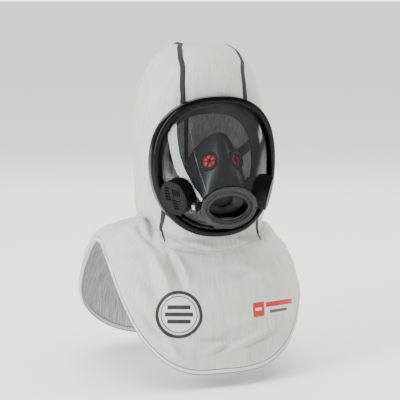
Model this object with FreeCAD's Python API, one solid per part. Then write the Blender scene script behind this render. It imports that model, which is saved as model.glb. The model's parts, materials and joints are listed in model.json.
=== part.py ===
"""Firefighter's smoke hood with the full-face mask that sits in its face opening.

Millimetres. +Z is up, -Y is the way the wearer looks, +X is the wearer's left.
The origin is the middle of the head, between the ears.
Each sub-part is written to parts/NAME.step.
"""
import FreeCAD
import Part
import math
import os

Vec = FreeCAD.Vector

# Hood, overall
HEAD_HALF_WIDTH = 85.0      # outer cloth, ear to head's middle
CROWN_TOP = 172.0           # height of the crown above the origin
BIB_LENGTH = 156.0          # drop from the neck seam to the front hem
SHOULDER_REACH = 141.0      # furthest half width of the bib

# Cloth layers, measured inwards from the outer surface
SHELL_THICK = 1.2
LINING_THICK = 1.2
LAYER_GAP = 0.4             # between shell and lining, and between two panels
SEAM_WIDTH = 7.0
SEAM_THICK = 1.0
SEAM_LIFT = 0.2             # seam cover above the cloth
BINDING_PROUD = 0.6         # binding past each face of the cloth

# Crown panel: half widths at the brow and at the nape, wearer's right then left
CROWN_FRONT = (43.0, 47.0)
CROWN_REAR = (9.0, 17.0)
CHIN_HALF_WIDTH = 66.0
FOLD_HEIGHT = -132.0        # the bibs lift about a line at this height
FOLD_GAP = 0.8

# Mask rim outline, seen from the front
RIM_HALF_WIDTH = 86.0
RIM_HALF_HEIGHT = 91.0
RIM_Z = 14.0
RIM_Y = -75.0               # groove of the rim, at the top and bottom
RIM_STAND = 9.1             # rim's rear in front of the cloth, at its inner edge
RIM_WRAP_POWER = 2.2
RIM_SQUARENESS = 2.4
RIM_TAPER = 0.10            # the rim is this share narrower at the chin
RIM_WALL = 4.4              # outer wall, outside the groove
RIM_DEEP = 9.0              # radial size of the rim
RIM_FRONT = 9.0             # rim in front of the groove's middle
RIM_REAR = 8.0
GROOVE_HALF = 3.6
RIM_SPLIT = 80.0            # angle from the top where the two rim halves meet
SPLIT_GAP = 0.15            # half of the gap, in degrees

# Lens, seal and the opening in the cloth
LENS_THICK = 2.5
SEAL_THICK = 2.2
SEAL_INSET = 10.4           # seal neck, in from the rim's outside
SEAL_LENGTH = 26.0
SEAL_LIP = 25.0             # inner edge of the lip that meets the face
OPENING_INSET = 7.0         # edge of the cloth, in from the rim's outside
FIT = 0.4                   # clearance of a part in its seat
ELASTIC_WIDE = 2.4
ELASTIC_DEEP = 4.0
CASING_WIDTH = 3.5

# Port for the regulator
PORT_CENTRE = Vec(0, -117, -34)
PORT_TILT = 12.0            # the port looks this far below the horizontal
PORT_HALF = (38.0, 28.5)    # outer ellipse, half width and half height
PORT_SEAT = 6.5             # width of the flat seat round the port
PORT_RECESS = 2.6
PORT_THICK = 5.8
PORT_BORE = (26.0, 15.5)
PORT_SLEEVE_WALL = 2.2
PORT_SLEEVE_LENGTH = 20.0
PORT_LENS_STEP = 4.0        # lens edge, in from the port's outside

# Voice units
VOICE_CENTRE = Vec(66, -90, -22)
VOICE_AXIS = Vec(0.86, -0.46, -0.22).normalize()
VOICE_R = 23.0
VOICE_LENGTH = 22.0
VOICE_LIP = 2.3             # wall outside the grille
VOICE_SHELF = 2.1           # step that the grille rests on
VOICE_BORE = 12.5
GRILLE_THICK = 2.2
VOICE_DEEP = 8.0
DUCT_WALL = 1.8
DUCT_LENGTH = 12.0

# Nose cup and its inhalation valves
CUP_THICK = 2.0
CUP_HALF_WIDTH = 44.0
CUP_HALF_HEIGHT = 59.0
CUP_Z = 0.0
CUP_TOP_Y = -78.0
CUP_BULGE = 8.0
CLAMP_THICK = 1.8
VALVE_ANGLE = 35.0          # place of a valve round the cup
VALVE_SHARE = 0.60          # place of a valve from the port to the rim of the cup
VALVE_R = 11.0
VALVE_BORE = 8.8
VALVE_HUB = 2.6
FLAP_R = 8.3
FLAP_THICK = 0.6
STEM_R = 1.2
STEM_CLEAR = 0.1
VALVE_TRAVEL = 1.8

# Harness
STRAP_DEPTH = 6.0           # outer face of a strap, in from the hood's outside
STRAP_THICK = 1.6
STRAP_ROWS = 0.42           # strap width, in rows of the hood's sections

# Badge and label on the front bib
PATCH_THICK = 0.8
PATCH_LIFT = 0.15

# Sections of the hood from crown to hem. Shares of the driving sizes:
# heights at front, right, left and rear; half widths right and left; depth front and rear;
# middle of the section in Y; squareness front and rear; start, end and sharpness of the arch;
# flare of the rear corners.
H, W = CROWN_TOP, HEAD_HALF_WIDTH
B, S = BIB_LENGTH, SHOULDER_REACH
NECK = -98.0                # neck seam at the front
SECTIONS = [
    (H, H, H, H, .10 * W, .10 * W, 2, 16, 8, 2.0, 2.0, 0, 90, 1.0, 0),
    (.983 * H,) * 4 + (.37 * W, .39 * W, 22, 40, 8, 2.0, 2.0, 0, 90, 1.0, 0),
    (.924 * H,) * 4 + (.59 * W, .63 * W, 41, 62, 8, 2.0, 2.0, 0, 90, 1.0, 0),
    (.808 * H,) * 4 + (.78 * W, .82 * W, 55, 84, 8, 2.1, 2.0, 0, 90, 1.0, 0),
    (.628 * H,) * 4 + (.92 * W, .94 * W, 62, 101, 9, 2.5, 2.0, 0, 90, 1.0, 0),
    (.419 * H,) * 4 + (.98 * W, .98 * W, 59, 112, 10, 3.3, 2.1, 0, 90, 1.0, 0),
    (.192 * H,) * 4 + (W, W, 56, 116, 10, 4.0, 2.1, 0, 90, 1.0, 0),
    (-5, -5, -5, -5, W, W, 56, 113, 8, 4.0, 2.1, 0, 90, 1.0, 0),
    (-44, -44, -44, -44, .98 * W, .98 * W, 58, 102, 5, 3.2, 2.1, 0, 90, 1.0, 0),
    (-78, -60, -62, -56, .89 * W, .91 * W, 63, 93, 3, 2.5, 2.1, 0, 90, 1.0, 0),
    (NECK, -66, -74, -62, .92 * W, .94 * W, 72, 92, 3, 2.3, 2.1, 0, 90, 1.0, 0),
    (NECK - .13 * B, -68, -86, -84, .71 * S, .69 * S, 84, 104, 8, 2.2, 2.2, 2, 90, 1.1, .02),
    (NECK - .31 * B, -72, -101, -122, .85 * S, .84 * S, 96, 124, 16, 2.3, 2.5, 4, 89, 1.3, .06),
    (NECK - .54 * B, -79, -114, -165, .92 * S, .92 * S, 103, 140, 22, 2.5, 2.9, 5, 88, 1.4, .11),
    (NECK - .77 * B, -88, -124, -212, .95 * S, .95 * S, 107, 151, 26, 2.6, 3.2, 5, 87, 1.6, .15),
    (NECK - B, -97, -132, -262, .96 * S, .97 * S, 107, 156, 28, 2.7, 3.4, 5, 86, 1.7, .17),
]
NECK_ROW = 10
HEM_ROW = len(SECTIONS) - 1
ARC_STEPS = 24              # grid steps in a half turn of the hood
RING_STEPS = 48             # points round the rim


# ---------------------------------------------------------------- shared shapes
def section_at(row):
    """Section sizes at a fractional row, by a smooth curve through the table."""
    i = min(int(row), HEM_ROW - 1)
    u = row - i
    a, b, c, d = (SECTIONS[min(max(k, 0), HEM_ROW)] for k in (i - 1, i, i + 1, i + 2))
    return [q + .5 * u * (r - p + u * (2 * p - 5 * q + 4 * r - s + u * (3 * (q - r) + s - p)))
            for p, q, r, s in zip(a, b, c, d)]


def hood_point(turn, row):
    """Point on the hood's outer surface. turn is 0 in front and 90 at the wearer's left."""
    (zf, zr, zl, zb, wr, wl, front, rear, mid, nf, nb, start, end, sharp, flare) = section_at(row)
    angle = math.radians(turn)
    s, c = math.sin(angle), math.cos(angle)
    n = nf if c > 0 else nb
    k = (abs(s) ** n + abs(c) ** n) ** (-1 / n)
    x = k * s * (wr if s < 0 else wl)
    if c < 0:
        x *= 1 + flare * (2 * s * c) ** 2
    y = mid - k * c * (front + mid if c > 0 else rear - mid)
    from_middle = math.degrees(math.asin(min(1.0, abs(s))))
    share = min(max((from_middle - start) / (end - start), 0.0), 1.0)
    share = (share * share * (3 - 2 * share)) ** sharp
    z_middle, z_side = (zf if c > 0 else zb), (zr if s < 0 else zl)
    return Vec(x, y, z_middle + (z_side - z_middle) * share)


def hood_offset(turn, row, depth):
    """Point at a depth inside the hood's outer surface, along its normal."""
    here = hood_point(turn, row)
    if row <= 0:
        return here - Vec(0, 0, depth)
    step = 0.02
    along = hood_point(turn + 1, row) - hood_point(turn - 1, row)
    down = hood_point(turn, min(row + step, HEM_ROW)) - hood_point(turn, max(row - step, 0))
    return here - down.cross(along).normalize() * depth


def surface(point, u0, u1, v0, v1, nu, nv):
    """Smooth surface through a grid of points of point(u, v)."""
    grid = [[point(u0 + (u1 - u0) * i / nu, v0 + (v1 - v0) * j / nv)
             for j in range(nv + 1)] for i in range(nu + 1)]
    made = Part.BSplineSurface()
    made.interpolate(grid)
    if u1 - u0 == 360:
        for j in range(1, made.NbVPoles + 1):
            made.setPole(made.NbUPoles, j, made.getPole(1, j))
    return made


def solid_of(faces):
    """Closed solid sewn from its faces, facing outwards."""
    shell = Part.makeShell(faces)
    shell.sewShape()
    made = Part.makeSolid(shell)
    if made.Volume < 0:
        made.reverse()
    return made


def ruled(first, second):
    """Face between two curves that run the same way."""
    return Part.makeRuledSurface(first, second, 1)


def rims(made):
    """The four boundary edges of a surface."""
    u0, u1, v0, v1 = made.bounds()
    return [c.toShape() for c in (made.uIso(u0), made.uIso(u1), made.vIso(v0), made.vIso(v1))]


def thick_patch(point, u0, u1, v0, v1, outer, inner, nu, nv):
    """Solid between two depths of point(u, v, depth) over a rectangle of u and v."""
    skins = [surface(lambda u, v, d=d: point(u, v, d), u0, u1, v0, v1, nu, nv)
             for d in (outer, inner)]
    sides = [ruled(a, b) for a, b in zip(rims(skins[0]), rims(skins[1]))]
    return solid_of([s.toShape() for s in skins] + sides)


def thick_cap(outer, inner):
    """Head part of the hood between two depths: a closed cap, open at the neck."""
    skins = [surface(lambda t, v, d=depth: hood_offset(t, v, d), -180, 180, 0, NECK_ROW,
                     2 * ARC_STEPS, 2 * NECK_ROW) for depth in (outer, inner)]
    tops = [Part.Face(Part.Wire(rims(skin)[2])) for skin in skins]
    hem = ruled(rims(skins[0])[3], rims(skins[1])[3])
    return solid_of([skin.toShape() for skin in skins] + tops + [hem])


def curve(points, closed):
    """Smooth curve through the points, evenly timed so that curves pair up."""
    made = Part.BSplineCurve()
    times = [float(i) for i in range(len(points) + (1 if closed else 0))]
    made.interpolate(Points=points, Parameters=times, PeriodicFlag=closed)
    return made.toShape()


def swept_ring(loops, t0=0.0, t1=360.0):
    """Solid whose section's corners follow the loops, whole or from t0 to t1 degrees."""
    closed = t1 - t0 >= 360
    steps = max(8, round(RING_STEPS * (t1 - t0) / 360))
    rows = [[loop(t0 + (t1 - t0) * i / steps) for i in range(steps + (0 if closed else 1))]
            for loop in loops]
    edges = [curve(row, closed) for row in rows]
    faces = [ruled(a, b) for a, b in zip(edges, edges[1:] + edges[:1])]
    if not closed:
        for end in (0, -1):
            corners = [row[end] for row in rows]
            faces.append(Part.Face(Part.makePolygon(corners + corners[:1])))
    return solid_of(faces)


def rim_point(turn, inset, back):
    """Point on the mask's rim: inset from its outside, back behind its groove. 0 is the top."""
    angle = math.radians(turn)
    s, c = math.sin(angle), math.cos(angle)
    n = RIM_SQUARENESS
    k = (abs(s) ** n + abs(c) ** n) ** (-1 / n)
    taper = 1 - RIM_TAPER * max(0.0, -c) ** 1.5
    x = k * s * taper * (RIM_HALF_WIDTH - inset)
    z = RIM_Z + k * c * (RIM_HALF_HEIGHT - inset)
    wrap = RIM_WRAP * (abs(x) / RIM_HALF_WIDTH) ** RIM_WRAP_POWER
    return Vec(x, RIM_Y + wrap + back, z)


def rim_loop(inset, back):
    return lambda turn: rim_point(turn, inset, back)


def port_frame():
    """Outward normal and upward direction of the port."""
    tilt = math.radians(PORT_TILT)
    return Vec(0, -math.cos(tilt), -math.sin(tilt)), Vec(0, -math.sin(tilt), math.cos(tilt))


def port_point(turn, half_width, half_height, out):
    normal, up = port_frame()
    angle = math.radians(turn)
    return (PORT_CENTRE + normal * out + Vec(1, 0, 0) * (half_width * math.sin(angle))
            + up * (half_height * math.cos(angle)))


def port_loop(half_width, half_height, out):
    return lambda turn: port_point(turn, half_width, half_height, out)


def oval(half_width, half_height, out0, out1):
    """Elliptical block along the port's axis, between two distances in front of its seat."""
    normal, up = port_frame()
    centre = PORT_CENTRE + normal * out0
    made = Part.Ellipse(centre + Vec(half_width, 0, 0), centre + up * half_height, centre)
    return Part.Face(Part.Wire(made.toShape())).extrude(normal * (out1 - out0))


def rod(base, axis, radius, start, end):
    """Cylinder on an axis through base, from start to end along it."""
    return Part.makeCylinder(radius, end - start, base + axis * start, axis)


def tube(base, axis, outer, inner, start, end):
    return rod(base, axis, outer, start, end).cut(rod(base, axis, inner, start - 1, end + 1))


def block(x0, x1, y0, y1, z0, z1):
    return Part.makeBox(x1 - x0, y1 - y0, z1 - z0, Vec(x0, y0, z0))


def local_block(base, across, up, out, sizes, low):
    """Block sizes (across, up, out) whose middle stands on base, lifted by low."""
    made = Part.makeBox(*sizes, Vec(-sizes[0] / 2, -sizes[1] / 2, low))
    made.transformShape(FreeCAD.Matrix(across.x, up.x, out.x, base.x,
                                       across.y, up.y, out.y, base.y,
                                       across.z, up.z, out.z, base.z,
                                       0, 0, 0, 1))
    return made


def mirrored(shape):
    return shape.mirror(Vec(0, 0, 0), Vec(1, 0, 0))


# ---------------------------------------------------------------- hood
FAR = 400.0


def face_prism(inset):
    """Block through the front of the hood, in the outline of the rim less an inset."""
    points = [rim_point(360 * i / RING_STEPS, inset, 0) for i in range(RING_STEPS)]
    flat = [Vec(p.x, -FAR, p.z) for p in points]
    return Part.Face(Part.Wire(curve(flat, True))).extrude(Vec(0, FAR - 8, 0))


def crown_block(grow):
    """Upright block that holds everything between the two crown seams."""
    y0, y1 = -80.0, 113.0

    def corner(which, y):
        slope = (CROWN_REAR[which] - CROWN_FRONT[which]) / (y1 - y0)
        return (2 * which - 1) * (CROWN_FRONT[which] + grow + slope * (y - y0))
    corners = [(0, -FAR), (1, -FAR), (1, y1 + 15), (0, y1 + 15), (0, -FAR)]
    outline = Part.makePolygon([Vec(corner(which, y), y, -FAR) for which, y in corners])
    return Part.Face(outline).extrude(Vec(0, 0, 2 * FAR))


def half_space(side):
    """Everything on one side of the middle: -1 for the wearer's right, 1 for the left."""
    return block(min(0, side * FAR), max(0, side * FAR), -FAR, FAR, -FAR, FAR)


def chin_block(grow):
    half = CHIN_HALF_WIDTH + grow
    return block(-half, half, -FAR, 0, -FAR, RIM_Z)


def build_head():
    """Shell panels, lining, seam covers and the casing round the face."""
    half_gap = LAYER_GAP / 2
    opening = face_prism(OPENING_INSET)
    shell = thick_cap(0, SHELL_THICK).cut(opening)
    made = {"crown_panel": shell.common(crown_block(-half_gap)).cut(chin_block(half_gap))}
    outside = shell.cut(crown_block(half_gap)).cut(chin_block(half_gap))
    made["right_side_panel"] = outside.common(half_space(-1))
    made["left_side_panel"] = outside.common(half_space(1))
    made["chin_panel"] = shell.common(chin_block(-half_gap))

    inner = SHELL_THICK + LAYER_GAP
    made["head_lining"] = thick_cap(inner, inner + LINING_THICK).cut(opening)

    cover = thick_cap(-SEAM_LIFT - SEAM_THICK, -SEAM_LIFT)
    casing_outline = face_prism(OPENING_INSET - CASING_WIDTH)
    made["face_casing"] = cover.common(casing_outline).cut(opening)
    trimmed = cover.cut(face_prism(OPENING_INSET - CASING_WIDTH - LAYER_GAP))
    half = SEAM_WIDTH / 2
    strips = crown_block(half).cut(crown_block(-half)).cut(chin_block(half + 1))
    seams = trimmed.common(strips)
    for side, name in ((-1, "right_crown_seam"), (1, "left_crown_seam")):
        made[name] = seams.common(half_space(side))
    chin_strip = chin_block(half).cut(chin_block(-half)).cut(
        block(-FAR, FAR, -FAR, FAR, RIM_Z - half - 1, FAR)).cut(
        block(-FAR, FAR, -half - 1, FAR, -FAR, FAR))
    made["chin_seams"] = trimmed.common(chin_strip)
    return made


def bib_patch(turn0, turn1, row0, row1, outer, inner):
    steps = max(8, round(ARC_STEPS * (turn1 - turn0) / 180))
    return thick_patch(hood_offset, turn0, turn1, row0, row1, outer, inner, steps, 12)


def split_at_fold(shape):
    """The part of a bib above the fold line and the flap below it."""
    gap = FOLD_GAP / 2
    above = block(-FAR, FAR, -FAR, FAR, FOLD_HEIGHT + gap, FAR)
    below = block(-FAR, FAR, -FAR, FAR, -FAR, FOLD_HEIGHT - gap)
    return shape.common(above), shape.common(below)


SHOULDER_GAP = 0.2          # half of the gap at a shoulder seam, in degrees
NECK_GAP_ROWS = 0.02
BINDING_ROWS = 0.24         # width of the hem binding, in rows


def build_bibs():
    """Front and rear bibs with lining and binding, each split where it folds up."""
    made = {}
    inner = SHELL_THICK + LAYER_GAP
    total = inner + LINING_THICK
    top = NECK_ROW + NECK_GAP_ROWS
    edge = HEM_ROW - BINDING_ROWS
    for name, a, b in (("front", -90, 90), ("rear", 90, 270)):
        a, b = a + SHOULDER_GAP, b - SHOULDER_GAP
        made[name + "_yoke"], made[name + "_bib"] = split_at_fold(
            bib_patch(a, b, top, edge, 0, SHELL_THICK))
        made[name + "_yoke_lining"], made[name + "_bib_lining"] = split_at_fold(
            bib_patch(a, b, top, edge, inner, total))
        made[name + "_arch_binding"], made[name + "_hem_binding"] = split_at_fold(
            bib_patch(a, b, edge + NECK_GAP_ROWS, HEM_ROW, -BINDING_PROUD, total + BINDING_PROUD))
    lift = (-SEAM_LIFT - SEAM_THICK, -SEAM_LIFT)
    seams = [bib_patch(t - 2.2, t + 2.2, NECK_ROW + 0.3, edge - 0.1, *lift) for t in (90, 270)]
    made["shoulder_seams"] = Part.makeCompound(seams)
    neck = [bib_patch(a, b, NECK_ROW + 0.04, NECK_ROW + 0.2, *lift) for a, b in ((0, 180), (180, 360))]
    made["neck_seam"] = neck[0].fuse(neck[1])
    return made


def build_patches():
    """Badge on the wearer's right chest and label on the left, lying on the front bib."""
    depth = (-PATCH_LIFT - PATCH_THICK, -PATCH_LIFT)
    badge = thick_patch(hood_offset, -42, -10, 12.15, 13.85, *depth, 8, 6)
    label = thick_patch(hood_offset, 24, 58, 12.75, 13.3, *depth, 8, 4)
    below = block(-FAR, FAR, -FAR, FAR, -FAR, FOLD_HEIGHT - FOLD_GAP)
    return {"chest_badge": badge.common(below), "chest_label": label.common(below)}


def cloth_y(x, z):
    """Y of the hood's outer surface in front, at a place seen from the front."""
    low, high = 0.0, 9.0
    for _ in range(40):
        mid = (low + high) / 2
        if section_at(mid)[0] > z:
            low = mid
        else:
            high = mid
    s = section_at(low)
    half, front, middle, n = (s[4] if x < 0 else s[5]), s[6], s[8], s[9]
    return middle - (front + middle) * max(0.0, 1 - (abs(x) / half) ** n) ** (1 / n)


def rim_wrap():
    """How far the rim's sides go back, so that they stay in front of the cloth behind them."""
    inner = RIM_HALF_WIDTH - RIM_DEEP
    back = cloth_y(inner, RIM_Z) - RIM_STAND - RIM_REAR - RIM_Y
    return back * (RIM_HALF_WIDTH / inner) ** RIM_WRAP_POWER


RIM_WRAP = rim_wrap()


def build_elastic():
    """Elastic ring inside the edge of the face opening."""
    inset = OPENING_INSET + 0.4

    def loop(extra, back):
        def point(turn):
            edge = rim_point(turn, inset, 0)
            here = rim_point(turn, inset + extra, 0)
            return Vec(here.x, cloth_y(edge.x, edge.z) + back, here.z)
        return point
    front = SHELL_THICK + 0.5
    corners = [(0, front), (ELASTIC_WIDE, front), (ELASTIC_WIDE, front + ELASTIC_DEEP),
               (0, front + ELASTIC_DEEP)]
    return swept_ring([loop(*c) for c in corners])


# ---------------------------------------------------------------- mask
def lens_loops():
    half = [h - PORT_LENS_STEP for h in PORT_HALF]
    back = -PORT_THICK - 0.2
    front_face = -GROOVE_HALF + 0.3
    rear_face = front_face + LENS_THICK
    edge = RIM_WALL + FIT
    return [rim_loop(edge, front_face), rim_loop(RIM_DEEP + 1.2, front_face),
            port_loop(half[0], half[1], back),
            port_loop(half[0] - LENS_THICK, half[1] - LENS_THICK, back),
            rim_loop(RIM_DEEP + 1.2 + LENS_THICK, rear_face), rim_loop(edge, rear_face)]


def voice_hole(side):
    centre, axis = voice_frame(side)
    return rod(centre, axis, VOICE_R + FIT, -VOICE_LENGTH - 2, 12)


def voice_frame(side):
    return (Vec(side * VOICE_CENTRE.x, VOICE_CENTRE.y, VOICE_CENTRE.z),
            Vec(side * VOICE_AXIS.x, VOICE_AXIS.y, VOICE_AXIS.z))


def cut_voices(shape):
    return shape.cut(voice_hole(-1)).cut(voice_hole(1))


def build_rim():
    """Upper and lower halves of the rim, with the plates and screws that join them."""
    g, w, d, f, r = GROOVE_HALF, RIM_WALL, RIM_DEEP, RIM_FRONT, RIM_REAR
    corners = [(0, 2 - f), (2, -f), (d - 2, -f), (d, 2 - f), (d, -g), (w, -g), (w, g), (d, g),
               (d, r), (1, r), (0, r - 1)]
    loops = [rim_loop(*c) for c in corners]
    upper = swept_ring(loops, -RIM_SPLIT + SPLIT_GAP, RIM_SPLIT - SPLIT_GAP)
    lower = swept_ring(loops, RIM_SPLIT + SPLIT_GAP, 360 - RIM_SPLIT - SPLIT_GAP)
    plates, screws = [], []
    plate_back = r + 0.1
    for side in (-1, 1):
        middle = side * RIM_SPLIT
        plate = swept_ring([rim_loop(a, b) for a, b in
                            ((1, plate_back), (d - 1, plate_back), (d - 1, plate_back + 1.6),
                             (1, plate_back + 1.6))], middle - 7, middle + 7)
        for turn in (middle - 4.5, middle + 4.5):
            at = rim_point(turn, 2.3, 0)
            shank = rod(at, Vec(0, 1, 0), 0.9, -f + 4, plate_back + 1.7)
            head = rod(at, Vec(0, 1, 0), 1.9, plate_back + 1.7, plate_back + 2.7)
            screws.append(shank.fuse(head))
            hole = rod(at, Vec(0, 1, 0), 0.95, -f + 3.9, plate_back + 5)
            plate = plate.cut(hole).cut(rod(at, Vec(0, 1, 0), 2.1, plate_back + 1.6, plate_back + 5))
            upper, lower = upper.cut(hole), lower.cut(hole)
        plates.append(plate)
    return {"upper_rim": cut_voices(upper), "lower_rim": cut_voices(lower),
            "rim_joiners": Part.makeCompound(plates), "rim_screws": Part.makeCompound(screws)}


def build_seal():
    """Rubber face seal: clamped flange, neck through the hood, and lip on the face."""
    t, n, flange = SEAL_THICK, SEAL_INSET, GROOVE_HALF - SEAL_THICK - 0.3
    corners = [(RIM_WALL + FIT, flange), (n + t, flange), (n + t, SEAL_LENGTH),
               (SEAL_LIP, SEAL_LENGTH + 4), (SEAL_LIP, SEAL_LENGTH + 4 + t),
               (n, SEAL_LENGTH + t), (n, flange + t), (RIM_WALL + FIT, flange + t)]
    return cut_voices(swept_ring([rim_loop(*c) for c in corners]))


def build_port(lens):
    """Ring that takes the regulator, its gasket, and the latch catch beside it."""
    a, b = PORT_HALF
    c, d = PORT_BORE
    w = PORT_SLEEVE_WALL
    seat = (a - PORT_SEAT, b - PORT_SEAT)
    ring = oval(a, b, -PORT_THICK, 0).cut(oval(*seat, -PORT_RECESS, 1))
    ring = ring.fuse(oval(c + w, d + w, -PORT_SLEEVE_LENGTH, -PORT_RECESS))
    ring = ring.cut(oval(c, d, -PORT_SLEEVE_LENGTH - 1, 1))
    normal, up = port_frame()
    bar = local_block(PORT_CENTRE - up * (d - 0.2), Vec(1, 0, 0), up, normal,
                      (24, 2.4, 2.4), -PORT_RECESS - 3.2)
    ring = ring.fuse(bar)
    gap = 0.3
    gasket = oval(seat[0] - gap, seat[1] - gap, -PORT_RECESS + 0.05, -PORT_RECESS + 1.4)
    gasket = gasket.cut(oval(c + w + gap, d + w + gap, -PORT_RECESS - 1, 1))

    # the catch stands on the lens beside the port, on the wearer's right
    turn, share = -98.0, 0.86
    loops = lens_loops()
    base = loops[1](turn) * (1 - share) + loops[2](turn) * share
    along = (loops[2](turn) - loops[1](turn)).normalize()
    around = (loops[2](turn + 2) - loops[2](turn - 2)).normalize()
    out = along.cross(around).normalize()
    if out.y > 0:
        out = out * -1
    across = around.cross(out).normalize()
    catch = local_block(base, across, around, out, (9, 13, 9), -2)
    catch = max(catch.cut(lens).Solids, key=lambda s: s.CenterOfMass.dot(out))
    window = local_block(base, across, around, out, (5.4, 7.4, 6), 4)
    insert = local_block(base, across, around, out, (4.8, 6.8, 2.2), 4.3)
    return {"port_ring": ring, "port_gasket": gasket,
            "latch_catch": catch.cut(window).cut(oval(a + FIT, b + FIT, -30, 20)),
            "catch_insert": insert}


# Slots of the wearer's right grille, as shares of its radius: across, up, width, height
GRILLE_SLOTS = ([(-0.41, 0.62 - 0.18 * i, 0.36 + 0.03 * i, 0.095) for i in range(5)]
                + [(0.20, -0.15 - 0.17 * i, 0.62 - 0.05 * i, 0.095) for i in range(4)]
                + [(0.08 + 0.17 * i, 0.36, 0.09, 0.46 - 0.03 * i) for i in range(4)])


def build_voice(side):
    """Voice unit of one side: housing, grille, diaphragm, gasket and clamp ring."""
    centre, axis = voice_frame(side)
    inner = VOICE_R - VOICE_LIP
    seat = inner - VOICE_SHELF
    housing = rod(centre, axis, VOICE_R, -VOICE_LENGTH, 0)
    housing = housing.makeFillet(1.2, [max(housing.Edges, key=lambda e: e.CenterOfMass.dot(axis))])
    housing = housing.cut(rod(centre, axis, inner, -GRILLE_THICK - 0.2, 1))
    housing = housing.cut(rod(centre, axis, seat, -VOICE_DEEP, 1))
    housing = housing.cut(rod(centre, axis, VOICE_BORE, -VOICE_LENGTH - 1, 0))
    grille = rod(centre, axis, inner - 0.15, -GRILLE_THICK, 0.2)
    across = Vec(0, 0, 1).cross(axis).normalize()
    up = axis.cross(across)
    if side < 0:
        for across_at, up_at, wide, high in GRILLE_SLOTS:
            place = centre + across * (across_at * inner) + up * (up_at * inner)
            grille = grille.cut(local_block(place, across, up, axis, (wide * inner, high * inner, 6), -3))
    else:
        pitch = 3.4
        holes = [(i * pitch + (j % 2) * pitch / 2, j * pitch * 0.87)
                 for i in range(-5, 6) for j in range(-5, 6)]
        near = [h for h in holes if math.hypot(*h) < inner - 3.5]
        grille = grille.cut(Part.makeCompound(
            [rod(centre + across * a + up * b, axis, 1.15, -3, 1) for a, b in near]))
    gasket = tube(centre, axis, seat - 0.1, VOICE_BORE + 1.5, -VOICE_DEEP + 0.02, -VOICE_DEEP + 1.2)
    film = rod(centre, axis, seat - 0.1, -VOICE_DEEP + 1.25, -VOICE_DEEP + 1.55)
    clamp = tube(centre, axis, seat - 0.1, seat - 2, -VOICE_DEEP + 1.6, -GRILLE_THICK - 0.3)
    return housing, grille, film, gasket, clamp


def cup_point(turn, share):
    """Outer surface of the nose cup, from the port sleeve (0) to the rim on the face (1)."""
    wall = PORT_SLEEVE_WALL + FIT + CUP_THICK
    neck = port_point(turn, PORT_BORE[0] + wall, PORT_BORE[1] + wall, -PORT_SLEEVE_LENGTH + 6)
    angle = math.radians(turn)
    s, c = math.sin(angle), math.cos(angle)
    rim = Vec(CUP_HALF_WIDTH * s * (1 - 0.35 * c),
              CUP_TOP_Y + 26 * abs(s) ** 1.5 + 2 * (1 - c), CUP_Z + CUP_HALF_HEIGHT * c)
    bulge = CUP_BULGE * 4 * share * (1 - share) * (0.35 + 0.65 * max(0.0, c))
    return neck * (1 - share) + rim * share + Vec(0, -bulge, 0)


def cup_offset(turn, share, depth):
    here = cup_point(turn, share)
    around = cup_point(turn + 1, share) - cup_point(turn - 1, share)
    along = cup_point(turn, share + 0.01) - cup_point(turn, share - 0.01)
    return here + along.cross(around).normalize() * depth


def valve_frame(side):
    """Centre and outward direction of an inhalation valve on the nose cup."""
    turn = side * VALVE_ANGLE
    outer, inner = cup_offset(turn, VALVE_SHARE, 0), cup_offset(turn, VALVE_SHARE, CUP_THICK)
    return outer, (outer - inner).normalize()


def build_cup():
    """Nose cup with holes for the valves and the voice ducts, and the clamp on its neck."""
    skins = [surface(lambda t, v, d=depth: cup_offset(t, v, d), -180, 180, 0, 1, 32, 8)
             for depth in (0, CUP_THICK)]
    ends = [ruled(rims(skins[0])[k], rims(skins[1])[k]) for k in (2, 3)]
    cup = solid_of([skin.toShape() for skin in skins] + ends)
    for side in (-1, 1):
        centre, axis = valve_frame(side)
        cup = cup.cut(rod(centre, axis, VALVE_BORE + 1.2 + 0.15, -12, 12))
        voice, line = voice_frame(side)
        cup = cup.cut(rod(voice, line, VOICE_BORE + DUCT_WALL + FIT, -VOICE_LENGTH - 40, 0))
    wall = PORT_SLEEVE_WALL + FIT
    a, b = PORT_BORE[0] + wall, PORT_BORE[1] + wall
    back = -PORT_SLEEVE_LENGTH
    neck = oval(a + CUP_THICK, b + CUP_THICK, back + 6.4, back + 10).cut(oval(a, b, back, 0))
    c = CUP_THICK + 0.1
    clamp = oval(a + c + CLAMP_THICK, b + c + CLAMP_THICK, back + 7, back + 9.6).cut(
        oval(a + c, b + c, back, 0))
    return {"nose_cup": cup, "nose_cup_neck": neck, "nose_cup_clamp": clamp}


def build_valve(side):
    """Inhalation valve: spoked seat, and the disc that lifts off it into the cup."""
    centre, axis = valve_frame(side)
    body = VALVE_BORE + 1.2
    seat = tube(centre, axis, body, VALVE_BORE, -3.4, 1.6)
    seat = seat.fuse(tube(centre, axis, VALVE_R + 1, VALVE_BORE, 0.9, 1.9))
    across = Vec(0, 0, 1).cross(axis).normalize()
    for i in range(3):
        line = FreeCAD.Rotation(axis, 30 + 60 * i).multVec(across)
        seat = seat.fuse(local_block(centre, line, axis.cross(line), axis,
                                     (2 * VALVE_BORE + 0.6, 1.3, 1.2), 0.1))
    seat = seat.fuse(rod(centre, axis, VALVE_HUB, 0.1, 1.5))
    seat = seat.cut(rod(centre, axis, STEM_R + STEM_CLEAR, -5, 5))
    flap = rod(centre, axis, FLAP_R, -FLAP_THICK, 0).fuse(rod(centre, axis, STEM_R, 0, 3.6))
    return seat, flap


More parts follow.
